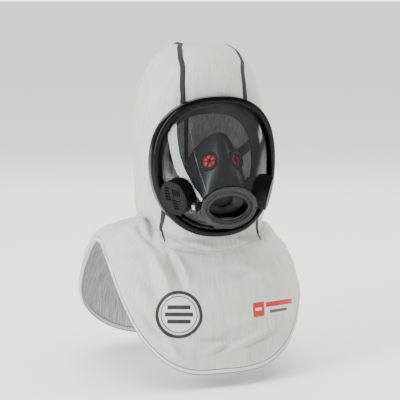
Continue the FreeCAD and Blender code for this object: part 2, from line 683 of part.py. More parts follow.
def build_harness():
    """Head harness hugging the inside of the hood: nape pad, straps and buckles."""
    depth = (STRAP_DEPTH, STRAP_DEPTH + STRAP_THICK)
    pad = thick_patch(hood_offset, 160, 200, 7.45, 8.45, *depth, 8, 4)

    def strap(t0, t1, v0, v1):
        def point(u, w, d):
            return hood_offset(t0 + (t1 - t0) * u, v0 + (v1 - v0) * u + w, d)
        half = STRAP_ROWS / 2
        return thick_patch(point, 0, 1, -half, half, *depth, 12, 3)
    rows = {"upper": (5.55, 7.68), "lower": (8.05, 8.15)}
    made = {"harness_pad": pad}
    buckles = []
    for name, (front, rear) in rows.items():
        straps = []
        for side in (-1, 1):
            start, end = side * 74, side * 159.4
            straps.append(strap(start, end, front, rear))
            base = hood_offset(side * 66, front, STRAP_DEPTH + 2)
            out = (base - hood_offset(side * 66, front, STRAP_DEPTH + 3)).normalize()
            along = (hood_point(side * 70, front) - hood_point(side * 62, front)).normalize()
            up = out.cross(along).normalize()
            along = up.cross(out)
            frame = local_block(base, along, up, out, (9, 24, 2.4), -1.2)
            buckles.append(frame.cut(local_block(base, along, up, out, (4, 18, 6), -3)))
        made[name + "_straps"] = Part.makeCompound(straps)
    made["strap_buckles"] = Part.makeCompound(buckles)
    return made


def build_all():
    parts = build_head()
    parts.update(build_bibs())
    parts.update(build_patches())
    parts["face_elastic"] = build_elastic()
    whole_lens = swept_ring(lens_loops())
    parts.update(build_port(whole_lens))
    for name in ("latch_catch", "catch_insert"):
        parts[name] = cut_voices(parts[name])
    parts["lens"] = cut_voices(whole_lens)
    parts.update(build_rim())
    parts["face_seal"] = build_seal()
    pairs = {-1: "right", 1: "left"}
    films, gaskets, clamps, ducts = [], [], [], []
    for side, word in pairs.items():
        housing, grille, film, gasket, clamp = build_voice(side)
        parts[word + "_voice_housing"] = housing
        parts[word + "_voice_grille"] = grille
        films.append(film)
        gaskets.append(gasket)
        clamps.append(clamp)
        centre, axis = voice_frame(side)
        ducts.append(tube(centre, axis, VOICE_BORE + DUCT_WALL, VOICE_BORE,
                          -VOICE_LENGTH - 0.1 - DUCT_LENGTH, -VOICE_LENGTH - 0.1))
        seat, flap = build_valve(side)
        parts[word + "_valve_seat"] = seat
        parts[word + "_valve_disc"] = flap
    parts["voice_diaphragms"] = Part.makeCompound(films)
    parts["voice_gaskets"] = Part.makeCompound(gaskets)
    parts["voice_clamp_rings"] = Part.makeCompound(clamps)
    parts["voice_ducts"] = Part.makeCompound(ducts)
    parts.update(build_cup())
    parts.update(build_harness())
    return parts


os.makedirs("parts", exist_ok=True)
for name, shape in build_all().items():
    solids = [s for s in shape.Solids if s.Volume > 1.0]
    kept = solids[0] if len(solids) == 1 else Part.makeCompound(solids)
    kept.exportStep("parts/" + name + ".step")
    box = kept.optimalBoundingBox(False)
    print("%-20s %d solids %9.0f mm3 valid=%s  x %.0f..%.0f y %.0f..%.0f z %.0f..%.0f" % (
        name, len(solids), kept.Volume, kept.isValid(), box.XMin, box.XMax, box.YMin, box.YMax,
        box.ZMin, box.ZMax))
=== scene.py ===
"""Looks of the smoke hood: knitted cloth, bindings and stitching, and the mask in its face opening.

Metres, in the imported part's frame: +Z up, -Y the way the wearer looks, +X the wearer's left.
The cloth follows the same sections as the solids, with folds added along its normals.
"""
import bmesh
import bpy
import functools
import json
import math
import numpy as np
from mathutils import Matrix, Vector


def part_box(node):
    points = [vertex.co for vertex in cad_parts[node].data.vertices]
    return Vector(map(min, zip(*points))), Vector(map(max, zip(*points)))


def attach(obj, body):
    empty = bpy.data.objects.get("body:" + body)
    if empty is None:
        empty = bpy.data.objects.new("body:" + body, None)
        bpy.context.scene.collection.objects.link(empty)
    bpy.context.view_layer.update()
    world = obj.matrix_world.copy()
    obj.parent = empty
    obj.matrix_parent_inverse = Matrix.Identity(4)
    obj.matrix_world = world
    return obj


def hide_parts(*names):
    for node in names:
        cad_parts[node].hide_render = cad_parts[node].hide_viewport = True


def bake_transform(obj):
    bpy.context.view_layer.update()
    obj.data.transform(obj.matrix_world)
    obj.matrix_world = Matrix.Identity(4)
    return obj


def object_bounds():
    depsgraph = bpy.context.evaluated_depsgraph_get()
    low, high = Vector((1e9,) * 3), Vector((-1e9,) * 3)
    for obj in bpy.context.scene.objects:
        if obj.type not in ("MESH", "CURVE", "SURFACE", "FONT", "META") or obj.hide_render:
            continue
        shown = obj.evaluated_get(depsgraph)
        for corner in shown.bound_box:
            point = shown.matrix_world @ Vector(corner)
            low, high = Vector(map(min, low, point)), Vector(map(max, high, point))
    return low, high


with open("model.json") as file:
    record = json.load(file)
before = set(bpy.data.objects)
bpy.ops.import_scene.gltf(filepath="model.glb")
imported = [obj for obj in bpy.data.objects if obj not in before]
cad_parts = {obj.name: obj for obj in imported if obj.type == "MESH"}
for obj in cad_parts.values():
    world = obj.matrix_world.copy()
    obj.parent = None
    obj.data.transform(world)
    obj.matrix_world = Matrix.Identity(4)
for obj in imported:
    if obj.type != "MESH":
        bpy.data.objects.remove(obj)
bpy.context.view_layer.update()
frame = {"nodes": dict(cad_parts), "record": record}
MM = 0.001

# ---------------------------------------------------------------- sizes read from the solids
CROWN_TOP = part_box("crown_panel")[1][2]
HEAD_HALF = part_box("left_side_panel")[1][0]
SHOULDER = 141 * MM
H, W = CROWN_TOP / MM, HEAD_HALF / MM
N, B, S = -98.0, 156.0, SHOULDER / MM

# Sections from crown to hem, in millimetres: heights at front, right, left and rear; half widths
# right and left; depth front and rear; middle in Y; squareness front and rear; start, end and
# sharpness of the arch; flare of the rear corners.
SECTIONS = np.array([
    (H, H, H, H, .10 * W, .10 * W, 2, 16, 8, 2.0, 2.0, 0, 90, 1.0, 0),
    (.983 * H,) * 4 + (.37 * W, .39 * W, 22, 40, 8, 2.0, 2.0, 0, 90, 1.0, 0),
    (.924 * H,) * 4 + (.59 * W, .63 * W, 41, 62, 8, 2.0, 2.0, 0, 90, 1.0, 0),
    (.808 * H,) * 4 + (.78 * W, .82 * W, 55, 84, 8, 2.1, 2.0, 0, 90, 1.0, 0),
    (.628 * H,) * 4 + (.92 * W, .94 * W, 62, 101, 9, 2.5, 2.0, 0, 90, 1.0, 0),
    (.419 * H,) * 4 + (.98 * W, .98 * W, 59, 112, 10, 3.3, 2.1, 0, 90, 1.0, 0),
    (.192 * H,) * 4 + (W, W, 56, 116, 10, 4.0, 2.1, 0, 90, 1.0, 0),
    (-5, -5, -5, -5, W, W, 56, 113, 8, 4.0, 2.1, 0, 90, 1.0, 0),
    (-44, -44, -44, -44, .98 * W, .98 * W, 58, 102, 5, 3.2, 2.1, 0, 90, 1.0, 0),
    (-78, -60, -62, -56, .89 * W, .91 * W, 63, 93, 3, 2.5, 2.1, 0, 90, 1.0, 0),
    (N, -66, -74, -62, .92 * W, .94 * W, 72, 92, 3, 2.3, 2.1, 0, 90, 1.0, 0),
    (N - .13 * B, -68, -86, -84, .71 * S, .69 * S, 84, 104, 8, 2.2, 2.2, 2, 90, 1.1, .02),
    (N - .31 * B, -72, -101, -122, .85 * S, .84 * S, 96, 124, 16, 2.3, 2.5, 4, 89, 1.3, .06),
    (N - .54 * B, -79, -114, -165, .92 * S, .92 * S, 103, 140, 22, 2.5, 2.9, 5, 88, 1.4, .11),
    (N - .77 * B, -88, -124, -212, .95 * S, .95 * S, 107, 151, 26, 2.6, 3.2, 5, 87, 1.6, .15),
    (N - B, -97, -132, -262, .96 * S, .97 * S, 107, 156, 28, 2.7, 3.4, 5, 86, 1.7, .17),
], float)
NECK_ROW = 10
HEM_ROW = len(SECTIONS) - 1

# Depths into the cloth, along its normal
SHELL_THICK = 1.1 * MM
LINING_DEPTH = 1.9 * MM
LINING_THICK = 0.9 * MM
SEAM_HALF = 3.6 * MM
PATCH_LIFT = .45 * MM       # how far a patch's face stands out from the cloth
PATCH_THICK = .6 * MM
BINDING_WIDTH = 8.5         # millimetres

# Mask
RIM_HALF_WIDTH = 86.0
RIM_HALF_HEIGHT = 91.0
RIM_Z = 14.0
RIM_Y = -75.0
RIM_WRAP = 23.0
OPENING_INSET = 7.0
LENS_THICK = 2.5
LENS_FRONT = -3.3            # Y of the lens's front face in the rim's groove, from RIM_Y
GROOVE_INSET = 4.9          # how far inside the outline the groove ends
PORT_CENTRE = np.array([0, -117, -34.0])
PORT_TILT = math.radians(12)
PORT_OUT = np.array([0, -math.cos(PORT_TILT), -math.sin(PORT_TILT)])
PORT_UP = np.array([0, -math.sin(PORT_TILT), math.cos(PORT_TILT)])
PORT_BORE = (26.0, 15.5)
SLEEVE_OUT = 4.6            # outer radius of the nose cup's neck, beyond the port's bore
NECK_RISE = 2 * MM          # the neck's hole lies this much above the port's axis
VALVE_HOLE = 9.6 * MM       # radius of the cup's hole round each valve
CUP_THICK = 2 * MM
CHIN_HALF = 66.0            # half width of the chin panel
LEFT_CHIN_SEAM = 61.0       # the left chin seam runs nearer the middle


# ---------------------------------------------------------------- the hood's surface
def sections_at(row):
    """Smooth curve through the section table at fractional rows: a Catmull-Rom spline."""
    row = np.clip(row, 0, HEM_ROW)
    i = np.minimum(row.astype(int), HEM_ROW - 1)
    u = (row - i)[..., None]
    a, b, c, d = (SECTIONS[np.clip(i + k, 0, HEM_ROW)] for k in (-1, 0, 1, 2))
    return b + .5 * u * (c - a + u * (2 * a - 5 * b + 4 * c - d + u * (3 * (b - c) + d - a)))


def hood_base(turn, row):
    """Superellipse sections whose height runs from the front or rear value to the side value.

    turn is in degrees, 0 in front and 90 at the wearer's left.
    """
    turn, row = np.broadcast_arrays(np.asarray(turn, float), np.asarray(row, float))
    s_at = sections_at(row)
    zf, zr, zl, zb, wr, wl, front, rear, mid, nf, nb, start, end, sharp, flare = \
        np.moveaxis(s_at, -1, 0)
    s, c = np.sin(np.radians(turn)), np.cos(np.radians(turn))
    n = np.where(c > 0, nf, nb)
    k = (np.abs(s) ** n + np.abs(c) ** n) ** (-1 / n)
    x = k * s * np.where(s < 0, wr, wl)
    x = x * np.where(c < 0, 1 + flare * (2 * s * c) ** 2, 1)
    y = mid - k * c * np.where(c > 0, front + mid, rear - mid)
    share = np.clip((np.degrees(np.arcsin(np.minimum(np.abs(s), 1))) - start) / (end - start), 0, 1)
    share = (share * share * (3 - 2 * share)) ** sharp
    middle, side = np.where(c > 0, zf, zb), np.where(s < 0, zr, zl)
    return np.stack([x, y, middle + (side - middle) * share], -1) * MM


def hood_normal(turn, row):
    """Outward unit normal: the cross product of the surface's two differences."""
    turn, row = np.broadcast_arrays(np.asarray(turn, float), np.asarray(row, float))
    along = hood_base(turn + 1, row) - hood_base(turn - 1, row)
    low, high = np.maximum(row - .03, .02), np.minimum(np.maximum(row, .05) + .03, HEM_ROW)
    return unit(np.cross(hood_base(turn, high) - hood_base(turn, low), along))


def unit(vectors):
    """Vectors divided by their lengths."""
    return vectors / np.maximum(np.linalg.norm(vectors, axis=-1, keepdims=True), 1e-12)


def distances(path):
    """Distance along a path at each of its points."""
    return np.concatenate([[0], np.cumsum(np.linalg.norm(np.diff(path, axis=0), axis=-1))])


def round_turns(count):
    """Turns round a closed outline, in degrees, as a column."""
    return np.linspace(0, 360, count + 1)[:-1, None]


# The three-quarter view in which the folds were drawn: across and up in millimetres
VIEW_YAW, VIEW_LIFT = math.radians(18.5), math.radians(9)
VIEW_BACK = np.array([-math.sin(VIEW_YAW) * math.cos(VIEW_LIFT),
                      -math.cos(VIEW_YAW) * math.cos(VIEW_LIFT), math.sin(VIEW_LIFT)])
VIEW_RIGHT = np.array([math.cos(VIEW_YAW), -math.sin(VIEW_YAW), 0])
VIEW_UP = np.cross(VIEW_BACK, VIEW_RIGHT)
VIEW_DISTANCE = 1.7
VIEW_BELOW = 40.5           # millimetres from the view's axis down to the origin


def in_view(points):
    """Millimetres across and up of points as the view sees them: nearer ones look larger."""
    scale = VIEW_DISTANCE / (VIEW_DISTANCE - points @ VIEW_BACK) / MM
    return points @ VIEW_RIGHT * scale, (points @ VIEW_UP + VIEW_BELOW * MM) * scale - VIEW_BELOW


# Folds on the side that faces the view: start and end across and up, half width, height
VIEW_FOLDS = [
    # neck: the side cloth hangs over the shoulder, in front of a deep crease
    (-80, -36, -70, -92, 9, 6.0), (-72, -58, -60, -100, 4.5, -4.0), (-60, -66, -52, -104, 6, 2.0),
    (-88, -78, -54, -108, 4.5, -4.0), (-100, -74, -78, -86, 9, 5.0), (-38, -104, 24, -114, 3.0, -3.6),
    (-34, -97, 20, -106, 6, 3.6), (24, -112, 70, -104, 4, -1.8), (46, -92, 66, -100, 5, 2.5),
    (66, -96, 92, -112, 8, 3.0),
    (-30, -84, 40, -92, 7, 1.6),
    # deep folds from the neck down the right chest
    (-46, -106, -22, -152, 4.5, -3.2), (-34, -112, -16, -148, 5.5, 3.2), (-64, -110, -40, -164, 6, 3.4),
    (-74, -120, -58, -170, 6, -2.6), (66, -134, 100, -156, 7, 3.0), (40, -136, 84, -150, 6, -2.4),
    # front bib: folds fan out from the neck
    (-30, -120, -14, -152, 5, 3.6), (-40, -122, -22, -158, 5, -3.2), (-56, -124, -38, -166, 8, 3.2),
    (-84, -138, -52, -182, 8, -2.6), (-10, -142, 60, -150, 12, -2.2), (20, -160, 84, -142, 8, 2.4),
    (52, -128, 88, -148, 7, 3.4), (60, -124, 92, -134, 5, -2.8), (40, -150, 92, -134, 6, -2.2),
    (-20, -190, 30, -218, 7, 2.4), (30, -218, 96, -190, 8, 2.6), (-6, -232, 62, -230, 5, -3.6),
    (-22, -226, 8, -242, 4, 2.6), (10, -246, 34, -232, 3.4, 3.0), (18, -248, 46, -236, 3, -2.6),
    (46, -240, 96, -214, 3.6, 3.0), (58, -244, 104, -216, 3.2, -2.8), (-52, -232, -18, -256, 4, 2.8),
    (-74, -196, -40, -246, 4.5, -3.2), (-62, -200, -30, -246, 5, 3.0), (-84, -190, -66, -228, 5, 2.4),
    # sides and front of the head
    (-96, 96, -94, 0, 13, -3.0), (80, -40, 92, -122, 15, 7.0),
    (-72, 52, -52, 10, 9, 1.6), (-58, 74, -38, 92, 8, -1.4), (-44, 96, -20, 100, 7, 1.2),
    (-6, 122, 30, 106, 9, -1.2), (14, 112, 52, 96, 7, 1.4), (-30, 84, 8, 96, 5, 1.0),
    (-86, 84, -84, 10, 14, 1.5), (-66, -14, -58, -40, 6, -2.0), (-74, -8, -70, -40, 7, 2.6),
    (-54, 100, -64, 60, 6, -1.5), (66, 84, 74, 56, 6, 1.5),
]
# Folds behind: start and end as (turn, row), half width and height in millimetres
REAR_FOLDS = [
    ((150, 10.6), (165, 13.8), 9.0, 3.2), ((200, 10.7), (196, 14.0), 10.0, 3.0),
    ((228, 11.0), (214, 14.2), 9.0, -2.6), ((128, 11.2), (140, 14.0), 10.0, 3.0),
    ((176, 12.0), (184, 14.6), 9.0, -2.4), ((-132, 8.6), (-170, 9.6), 5.0, 2.6),
    ((-120, 9.2), (-150, 9.9), 4.5, -2.2), ((104, 8.7), (140, 9.6), 5.0, 2.4),
    ((160, 9.0), (205, 9.4), 5.5, 2.4), ((-128, 4.5), (-118, 8.0), 9.0, 1.6),
    ((140, 3.5), (132, 7.0), 10.0, 1.5),
]
FOLD_GAIN = 1.35            # the folds in view stand this much higher than listed
TURN_MM = 1.65              # millimetres along the cloth for one degree of turn
ROW_MM = 31.0               # and for one row


def ridge(x, y, x0, y0, x1, y1, width, top):
    """Gaussian ridge about a line, which rises and dies away along it as a sine does."""
    dx, dy = x1 - x0, y1 - y0
    along = np.clip(((x - x0) * dx + (y - y0) * dy) / (dx * dx + dy * dy), 0, 1)
    gap = np.hypot(x - x0 - along * dx, y - y0 - along * dy)
    return top * np.sin(np.pi * np.clip(along, .06, .94)) ** .7 * np.exp(-(gap / width) ** 2)


def waves(turn, row):
    """Small lasting unevenness of the cloth: a sum of sines in several directions, -1 to 1."""
    a, r = np.radians(turn), row
    return (np.sin(3 * a + 1.1 * r + .4) + .8 * np.sin(5 * a - 1.7 * r + 2.0)
            + .6 * np.sin(8 * a + 2.3 * r + 4.1) + .45 * np.sin(13 * a - 3.9 * r + .9)
            + .3 * np.sin(21 * a + 6.1 * r + 3.3)) / 3.15


def folds(turn, row):
    """Height of the folds, in metres: ridges seen in the view, ridges behind, and slow waves."""
    turn, row = np.broadcast_arrays(np.asarray(turn, float), np.asarray(row, float))
    wrapped = (turn + 180) % 360 - 180
    x, y = in_view(hood_base(turn, row))
    facing = np.clip((hood_normal(turn, row) @ VIEW_BACK + .12) / .25, 0, 1)
    height = FOLD_GAIN * sum(ridge(x, y, *fold) for fold in VIEW_FOLDS) * facing
    for (t0, r0), (t1, r1), width, top in REAR_FOLDS:
        local = t0 + (turn - t0 + 180) % 360 - 180
        height += ridge(local * TURN_MM, row * ROW_MM, t0 * TURN_MM, r0 * ROW_MM,
                        t1 * TURN_MM, r1 * ROW_MM, width, top)
    loose = np.clip((row - 9.5) / 3.5, 0, 1)
    height += waves(wrapped, row) * (.6 + 1.9 * loose)
    rim_gap = face_ratio(hood_base(turn, row))
    near_rim = np.clip(1 - (rim_gap - 1.02) / .07, 0, 1)
    top = np.clip(row / .8, 0, 1)
    arch = 1 - .75 * np.exp(-((np.abs(wrapped) - 90) / 10) ** 2) * (row > NECK_ROW + .6)
    return height * MM * (1 - .85 * near_rim) * top * arch


def on_front(across, up):
    """Turn and row of the cloth's front at places across and up in the view, by Newton steps."""
    turn = np.full(np.shape(across), 10.0) + np.asarray(across) * .5
    row = np.full(np.shape(across), 12.5)
    for _ in range(14):
        x, y = in_view(hood_base(turn, row))
        xt, yt = in_view(hood_base(turn + .2, row))
        xr, yr = in_view(hood_base(turn, row + .02))
        a, b, c, d = (xt - x) / .2, (xr - x) / .02, (yt - y) / .2, (yr - y) / .02
        ex, ey = across - x, up - y
        det = a * d - b * c
        turn = turn + np.clip((ex * d - ey * b) / det, -12, 12)
        row = np.clip(row + np.clip((a * ey - c * ex) / det, -.6, .6), 10, HEM_ROW)
    return turn, row


def cloth(turn, row, depth=0.0):
    """Point on the folded cloth, at a depth in metres inside its outer face."""
    normal = hood_normal(turn, row)
    return hood_base(turn, row) + normal * (folds(turn, row) - depth)[..., None]


# ---------------------------------------------------------------- meshes
def mesh_object(name, points, faces, uv=None, smooth=True):
    """Object from arrays of points (n, 3) and quads (m, 4), with an optional UV per point."""
    data = bpy.data.meshes.new(name)
    data.vertices.add(len(points))
    data.vertices.foreach_set("co", np.asarray(points, np.float32).ravel())
    data.loops.add(faces.size)
    data.loops.foreach_set("vertex_index", faces.astype(np.int32).ravel())
    data.polygons.add(len(faces))
    data.polygons.foreach_set("loop_start", np.arange(0, faces.size, faces.shape[1], dtype=np.int32))
    data.polygons.foreach_set("use_smooth", np.full(len(faces), smooth))
    data.update(calc_edges=True)
    if uv is not None:
        layer = data.uv_layers.new(name="cloth")
        layer.data.foreach_set("uv", np.asarray(uv, np.float32)[faces.ravel()].ravel())
    data.validate()
    made = bpy.data.objects.new(name, data)
    bpy.context.scene.collection.objects.link(made)
    return made


def quads(nu, nv, close_u=False, close_v=False, flip=False):
    """Quads over a grid of nu by nv points, optionally joined end to end."""
    i = np.arange(nu if close_u else nu - 1)[:, None]
    j = np.arange(nv if close_v else nv - 1)[None, :]
    i1, j1 = (i + 1) % nu, (j + 1) % nv
    index = np.stack([i * nv + j, i1 * nv + j, i1 * nv + j1, i * nv + j1], -1).reshape(-1, 4)
    return index[:, ::-1] if flip else index


def part_of_grid(name, grid, faces, uv=None):
    """Object from some of a grid's faces, without the points that none of them uses."""
    keep = np.unique(faces)
    where = np.full(grid.shape[0] * grid.shape[1], -1)
    where[keep] = np.arange(len(keep))
    flat_uv = None if uv is None else uv.reshape(-1, 2)[keep]
    return mesh_object(name, grid.reshape(-1, 3)[keep], where[faces], flat_uv)


def solidify(made, thickness):
    """Gives a skin its thickness, inwards."""
    modifier = made.modifiers.new("thickness", "SOLIDIFY")
    modifier.thickness = thickness
    modifier.offset = -1
    modifier.use_even_offset = False
    return made


def grid_piece(name, grid, uv=None, close_u=False, close_v=False, flip=False):
    """Object whose surface is a grid of points (nu, nv, 3)."""
    nu, nv = grid.shape[:2]
    flat_uv = None if uv is None else uv.reshape(-1, 2)
    return mesh_object(name, grid.reshape(-1, 3), quads(nu, nv, close_u, close_v, flip), flat_uv)


def swept_piece(name, rows, closed, flip=False):
    """Surface through closed outlines rows (n, m, 3), joined in a ring or capped at both ends."""
    n, m = rows.shape[:2]
    faces = quads(n, m, closed, True, flip)
    points = rows.reshape(-1, 3)
    if not closed:
        middles = np.stack([rows[0].mean(0), rows[-1].mean(0)])
        ring = np.arange(m)
        first = np.stack([ring, (ring + 1) % m, np.full(m, n * m), np.full(m, n * m)], -1)
        last = np.stack([(n - 1) * m + (ring + 1) % m, (n - 1) * m + ring,
                         np.full(m, n * m + 1), np.full(m, n * m + 1)], -1)
        caps = np.concatenate([first, last])[:, :3]
        points = np.concatenate([points, middles])
        return polygons_piece(name, points, faces, caps[:, ::-1] if flip else caps)
    return mesh_object(name, points, faces)


def polygons_piece(name, points, four, three):
    """Object from quads and triangles together."""
    data = bpy.data.meshes.new(name)
    data.from_pydata(points.tolist(), [], four.tolist() + three.tolist())
    data.polygons.foreach_set("use_smooth", np.full(len(data.polygons), True))
    data.update()
    made = bpy.data.objects.new(name, data)
    bpy.context.scene.collection.objects.link(made)
    return made


def sharpen(made, angle=50):
    """Keeps edges sharper than the angle crisp."""
    bpy.context.view_layer.objects.active = made
    made.select_set(True)
    bpy.ops.object.shade_smooth_by_angle(angle=math.radians(angle))
    made.select_set(False)
    return made


def mend(made, merge=False, fill=False, turn=False):
    """Merges doubled points, fills open ends, or turns a closed mesh's faces outwards."""
    work = bmesh.new()
    work.from_mesh(made.data)
    if merge:
        bmesh.ops.remove_doubles(work, verts=work.verts, dist=1e-7)
    if fill:
        bmesh.ops.holes_fill(work, edges=[e for e in work.edges if e.is_boundary], sides=0)
    if turn:
        bmesh.ops.recalc_face_normals(work, faces=work.faces)
    work.to_mesh(made.data)
    work.free()
    made.data.update()
    return made


def outward(made):
    """Closed mesh with its doubled points merged and its faces turned outwards."""
    return mend(made, merge=True, turn=True)


def tube_piece(name, rows, uv):
    """Tube through closed outlines rows (n, m, 3), filled at both ends, with UV."""
    return mend(grid_piece(name, rows, uv, close_v=True), fill=True, turn=True)


# ---------------------------------------------------------------- materials
def linear(*rgb):
    """Linear colour from 0-255 display values."""
    v = np.array(rgb, float) / 255
    return tuple(np.where(v <= .04045, v / 12.92, ((v + .055) / 1.055) ** 2.4)) + (1.0,)


class Finish:
    """A Principled material with short calls for the textures that this hood needs."""

    def __init__(self, name, colour, rough, **sockets):
        self.made = bpy.data.materials.new(name)
        self.made.use_nodes = True
        self.nodes, self.links = self.made.node_tree.nodes, self.made.node_tree.links
        self.main = self.nodes["Principled BSDF"]
        self.main.inputs["Base Color"].default_value = colour
        self.main.inputs["Roughness"].default_value = rough
        for key, value in sockets.items():
            self.main.inputs[key.replace("_", " ")].default_value = value
        self.coords = self.nodes.new("ShaderNodeTexCoord")
        self.last_bump = None

    def place(self, space, scale=(1, 1, 1), turn=(0, 0, 0)):
        """Object or UV coordinates, scaled and turned."""
        mapping = self.nodes.new("ShaderNodeMapping")
        mapping.inputs["Scale"].default_value = scale
        mapping.inputs["Rotation"].default_value = turn
        self.links.new(self.coords.outputs[space], mapping.inputs["Vector"])
        return mapping.outputs["Vector"]

    def across_and_up(self):
        """The UV's two numbers."""
        split = self.nodes.new("ShaderNodeSeparateXYZ")
        self.links.new(self.place("UV"), split.inputs[0])
        return split.outputs["X"], split.outputs["Y"]

    def noise(self, vector, scale, detail=3, rough=.55):
        """Fractal noise, 0 to 1."""
        node = self.nodes.new("ShaderNodeTexNoise")
        node.inputs["Scale"].default_value = scale
        node.inputs["Detail"].default_value = detail
        node.inputs["Roughness"].default_value = rough
        self.links.new(vector, node.inputs["Vector"])
        return node.outputs["Fac"]

    def wave(self, vector, period, axis="X", distortion=0.0):
        """Sine bands; period in the vector's units."""
        node = self.nodes.new("ShaderNodeTexWave")
        node.bands_direction = axis
        node.inputs["Scale"].default_value = .31416 / period
        node.inputs["Distortion"].default_value = distortion
        self.links.new(vector, node.inputs["Vector"])
        return node.outputs["Fac"]

    def math(self, kind, a, b=0.0):
        """One sum of two values, each a socket or a number."""
        node = self.nodes.new("ShaderNodeMath")
        node.operation = kind
        for socket, value in zip(node.inputs, (a, b)):
            if isinstance(value, (int, float)):
                socket.default_value = value
            else:
                self.links.new(value, socket)
        return node.outputs[0]

    def highest(self, *values):
        """The largest of several masks."""
        return functools.reduce(lambda a, b: self.math("MAXIMUM", a, b), values)

    def within(self, value, at, half):
        """1 where a value lies less than half from a place, and 0 elsewhere."""
        return self.math("LESS_THAN", self.math("ABSOLUTE", self.math("SUBTRACT", value, at)), half)

    def blend(self, factor, first, second):
        """Colour from the first (factor 0) to the second (factor 1)."""
        node = self.nodes.new("ShaderNodeMix")
        node.data_type = "RGBA"
        for key, value in (("Factor", factor), ("A", first), ("B", second)):
            socket = next(s for s in node.inputs if s.name == key and (
                s.type == "VALUE" if key == "Factor" else s.type == "RGBA"))
            if isinstance(value, (tuple, float, int)):
                socket.default_value = value
            else:
                self.links.new(value, socket)
        return next(s for s in node.outputs if s.type == "RGBA")

    def ramp(self, value, low, high):
        """A value stretched from low..high to 0..1."""
        node = self.nodes.new("ShaderNodeMapRange")
        node.inputs["From Min"].default_value = low
        node.inputs["From Max"].default_value = high
        self.links.new(value, node.inputs["Value"])
        return node.outputs["Result"]

    def colour(self, value):
        """Drives the base colour."""
        self.links.new(value, self.main.inputs["Base Color"])
        return self

    def rough(self, value, low, high):
        """Drives the roughness, from low where the value is 0 to high where it is 1."""
        node = self.nodes.new("ShaderNodeMapRange")
        node.inputs["To Min"].default_value = low
        node.inputs["To Max"].default_value = high
        self.links.new(value, node.inputs["Value"])
        self.links.new(node.outputs["Result"], self.main.inputs["Roughness"])
        return self

    def bump(self, height, distance, strength=1.0):
        """Adds a bump on top of those given before."""
        node = self.nodes.new("ShaderNodeBump")
        node.inputs["Distance"].default_value = distance
        node.inputs["Strength"].default_value = strength
        self.links.new(height, node.inputs["Height"])
        if self.last_bump:
            self.links.new(self.last_bump, node.inputs["Normal"])
        self.last_bump = node.outputs["Normal"]
        self.links.new(self.last_bump, self.main.inputs["Normal"])
        return self


def knit(name, colour, shade, wale=1.15 * MM):
    """Fine jersey knit: upright wales crossed by courses, with soft fuzz and slight mottling."""
    made = Finish(name, colour, .88, Sheen_Weight=.12, Sheen_Roughness=.5, Specular_IOR_Level=.2)
    cloth_uv = made.place("UV")
    wales = made.wave(cloth_uv, wale)
    courses = made.wave(cloth_uv, wale * .8, "Y")
    fuzz = made.noise(cloth_uv, 1400, 2)
    mottle = made.noise(cloth_uv, 26, 4)
    yarns = made.noise(made.place("UV", (1, .07, 1)), 330, 4, .7)
    stitch = made.math("MULTIPLY", wales, made.math("ADD", made.math("MULTIPLY", courses, .5), .5))
    low = made.math("MULTIPLY", made.math("SUBTRACT", 1.0, stitch), .2)
    uneven = made.math("ADD", made.math("MULTIPLY", made.ramp(mottle, .35, .7), .22),
                       made.math("MULTIPLY", made.ramp(yarns, .38, .66), .45))
    tone = made.math("ADD", low, uneven)
    made.colour(made.blend(tone, colour, shade))
    made.rough(fuzz, .78, .95)
    made.bump(stitch, .16 * MM, .55).bump(fuzz, .1 * MM, .35)
    return made.made


def melange(name):
    """Grey melange jersey: light and dark yarns in upright streaks."""
    made = Finish(name, linear(150, 150, 150), .9, Sheen_Weight=.3, Specular_IOR_Level=.2)
    streaks = made.noise(made.place("UV", (1, .09, 1)), 700, 5, .75)
    broad = made.noise(made.place("UV", (1, .3, 1)), 60, 3)
    wales = made.wave(made.place("UV"), 1.3 * MM)
    tone = made.math("ADD", made.math("MULTIPLY", made.ramp(streaks, .36, .66), .75),
                     made.math("MULTIPLY", made.ramp(broad, .3, .7), .25))
    made.colour(made.blend(tone, linear(112, 112, 112), linear(216, 216, 213)))
    made.bump(wales, .18 * MM, .6).bump(streaks, .2 * MM, .4)
    return made.made


def thread(name, colour, shade):
    """Overlocked thread cover: slanting loops along the seam, seen in the UV's length."""
    made = Finish(name, colour, .8, Sheen_Weight=.2)
    loops = made.wave(made.place("UV", turn=(0, 0, .5)), 1.5 * MM, "Y")
    fuzz = made.noise(made.place("UV"), 1800, 2)
    speckle = made.ramp(made.noise(made.place("UV"), 620, 3, .7), .38, .62)
    made.colour(made.blend(made.math("MULTIPLY", made.math("ADD", loops, speckle), .5), shade, colour))
    made.bump(loops, .35 * MM, .8).bump(fuzz, .1 * MM, .4)
    return made.made


def tape():
    """Folded binding tape: fine cross ribs, with two lines of dark stitches along it.

    UV runs along the tape in x and across it in y, both in metres, from the tape's outer edge.
    """
    made = Finish("binding_tape", linear(205, 203, 195), .85, Sheen_Weight=.3)
    flat = made.place("UV")
    _, from_edge = made.across_and_up()
    ribs = made.wave(flat, .9 * MM)
    dash = made.math("GREATER_THAN", made.wave(flat, 3.4 * MM), .12)
    lines = made.highest(*(made.within(from_edge, at, .7 * MM) for at in (1.2 * MM, 7.2 * MM)))
    stitched = made.math("MULTIPLY", lines, dash)
    ground = made.blend(made.math("MULTIPLY", ribs, .35), linear(206, 205, 195), linear(180, 178, 168))
    made.colour(made.blend(stitched, ground, linear(30, 30, 32)))
    made.bump(ribs, .12 * MM, .5).bump(stitched, .25 * MM, .9)
    return made.made


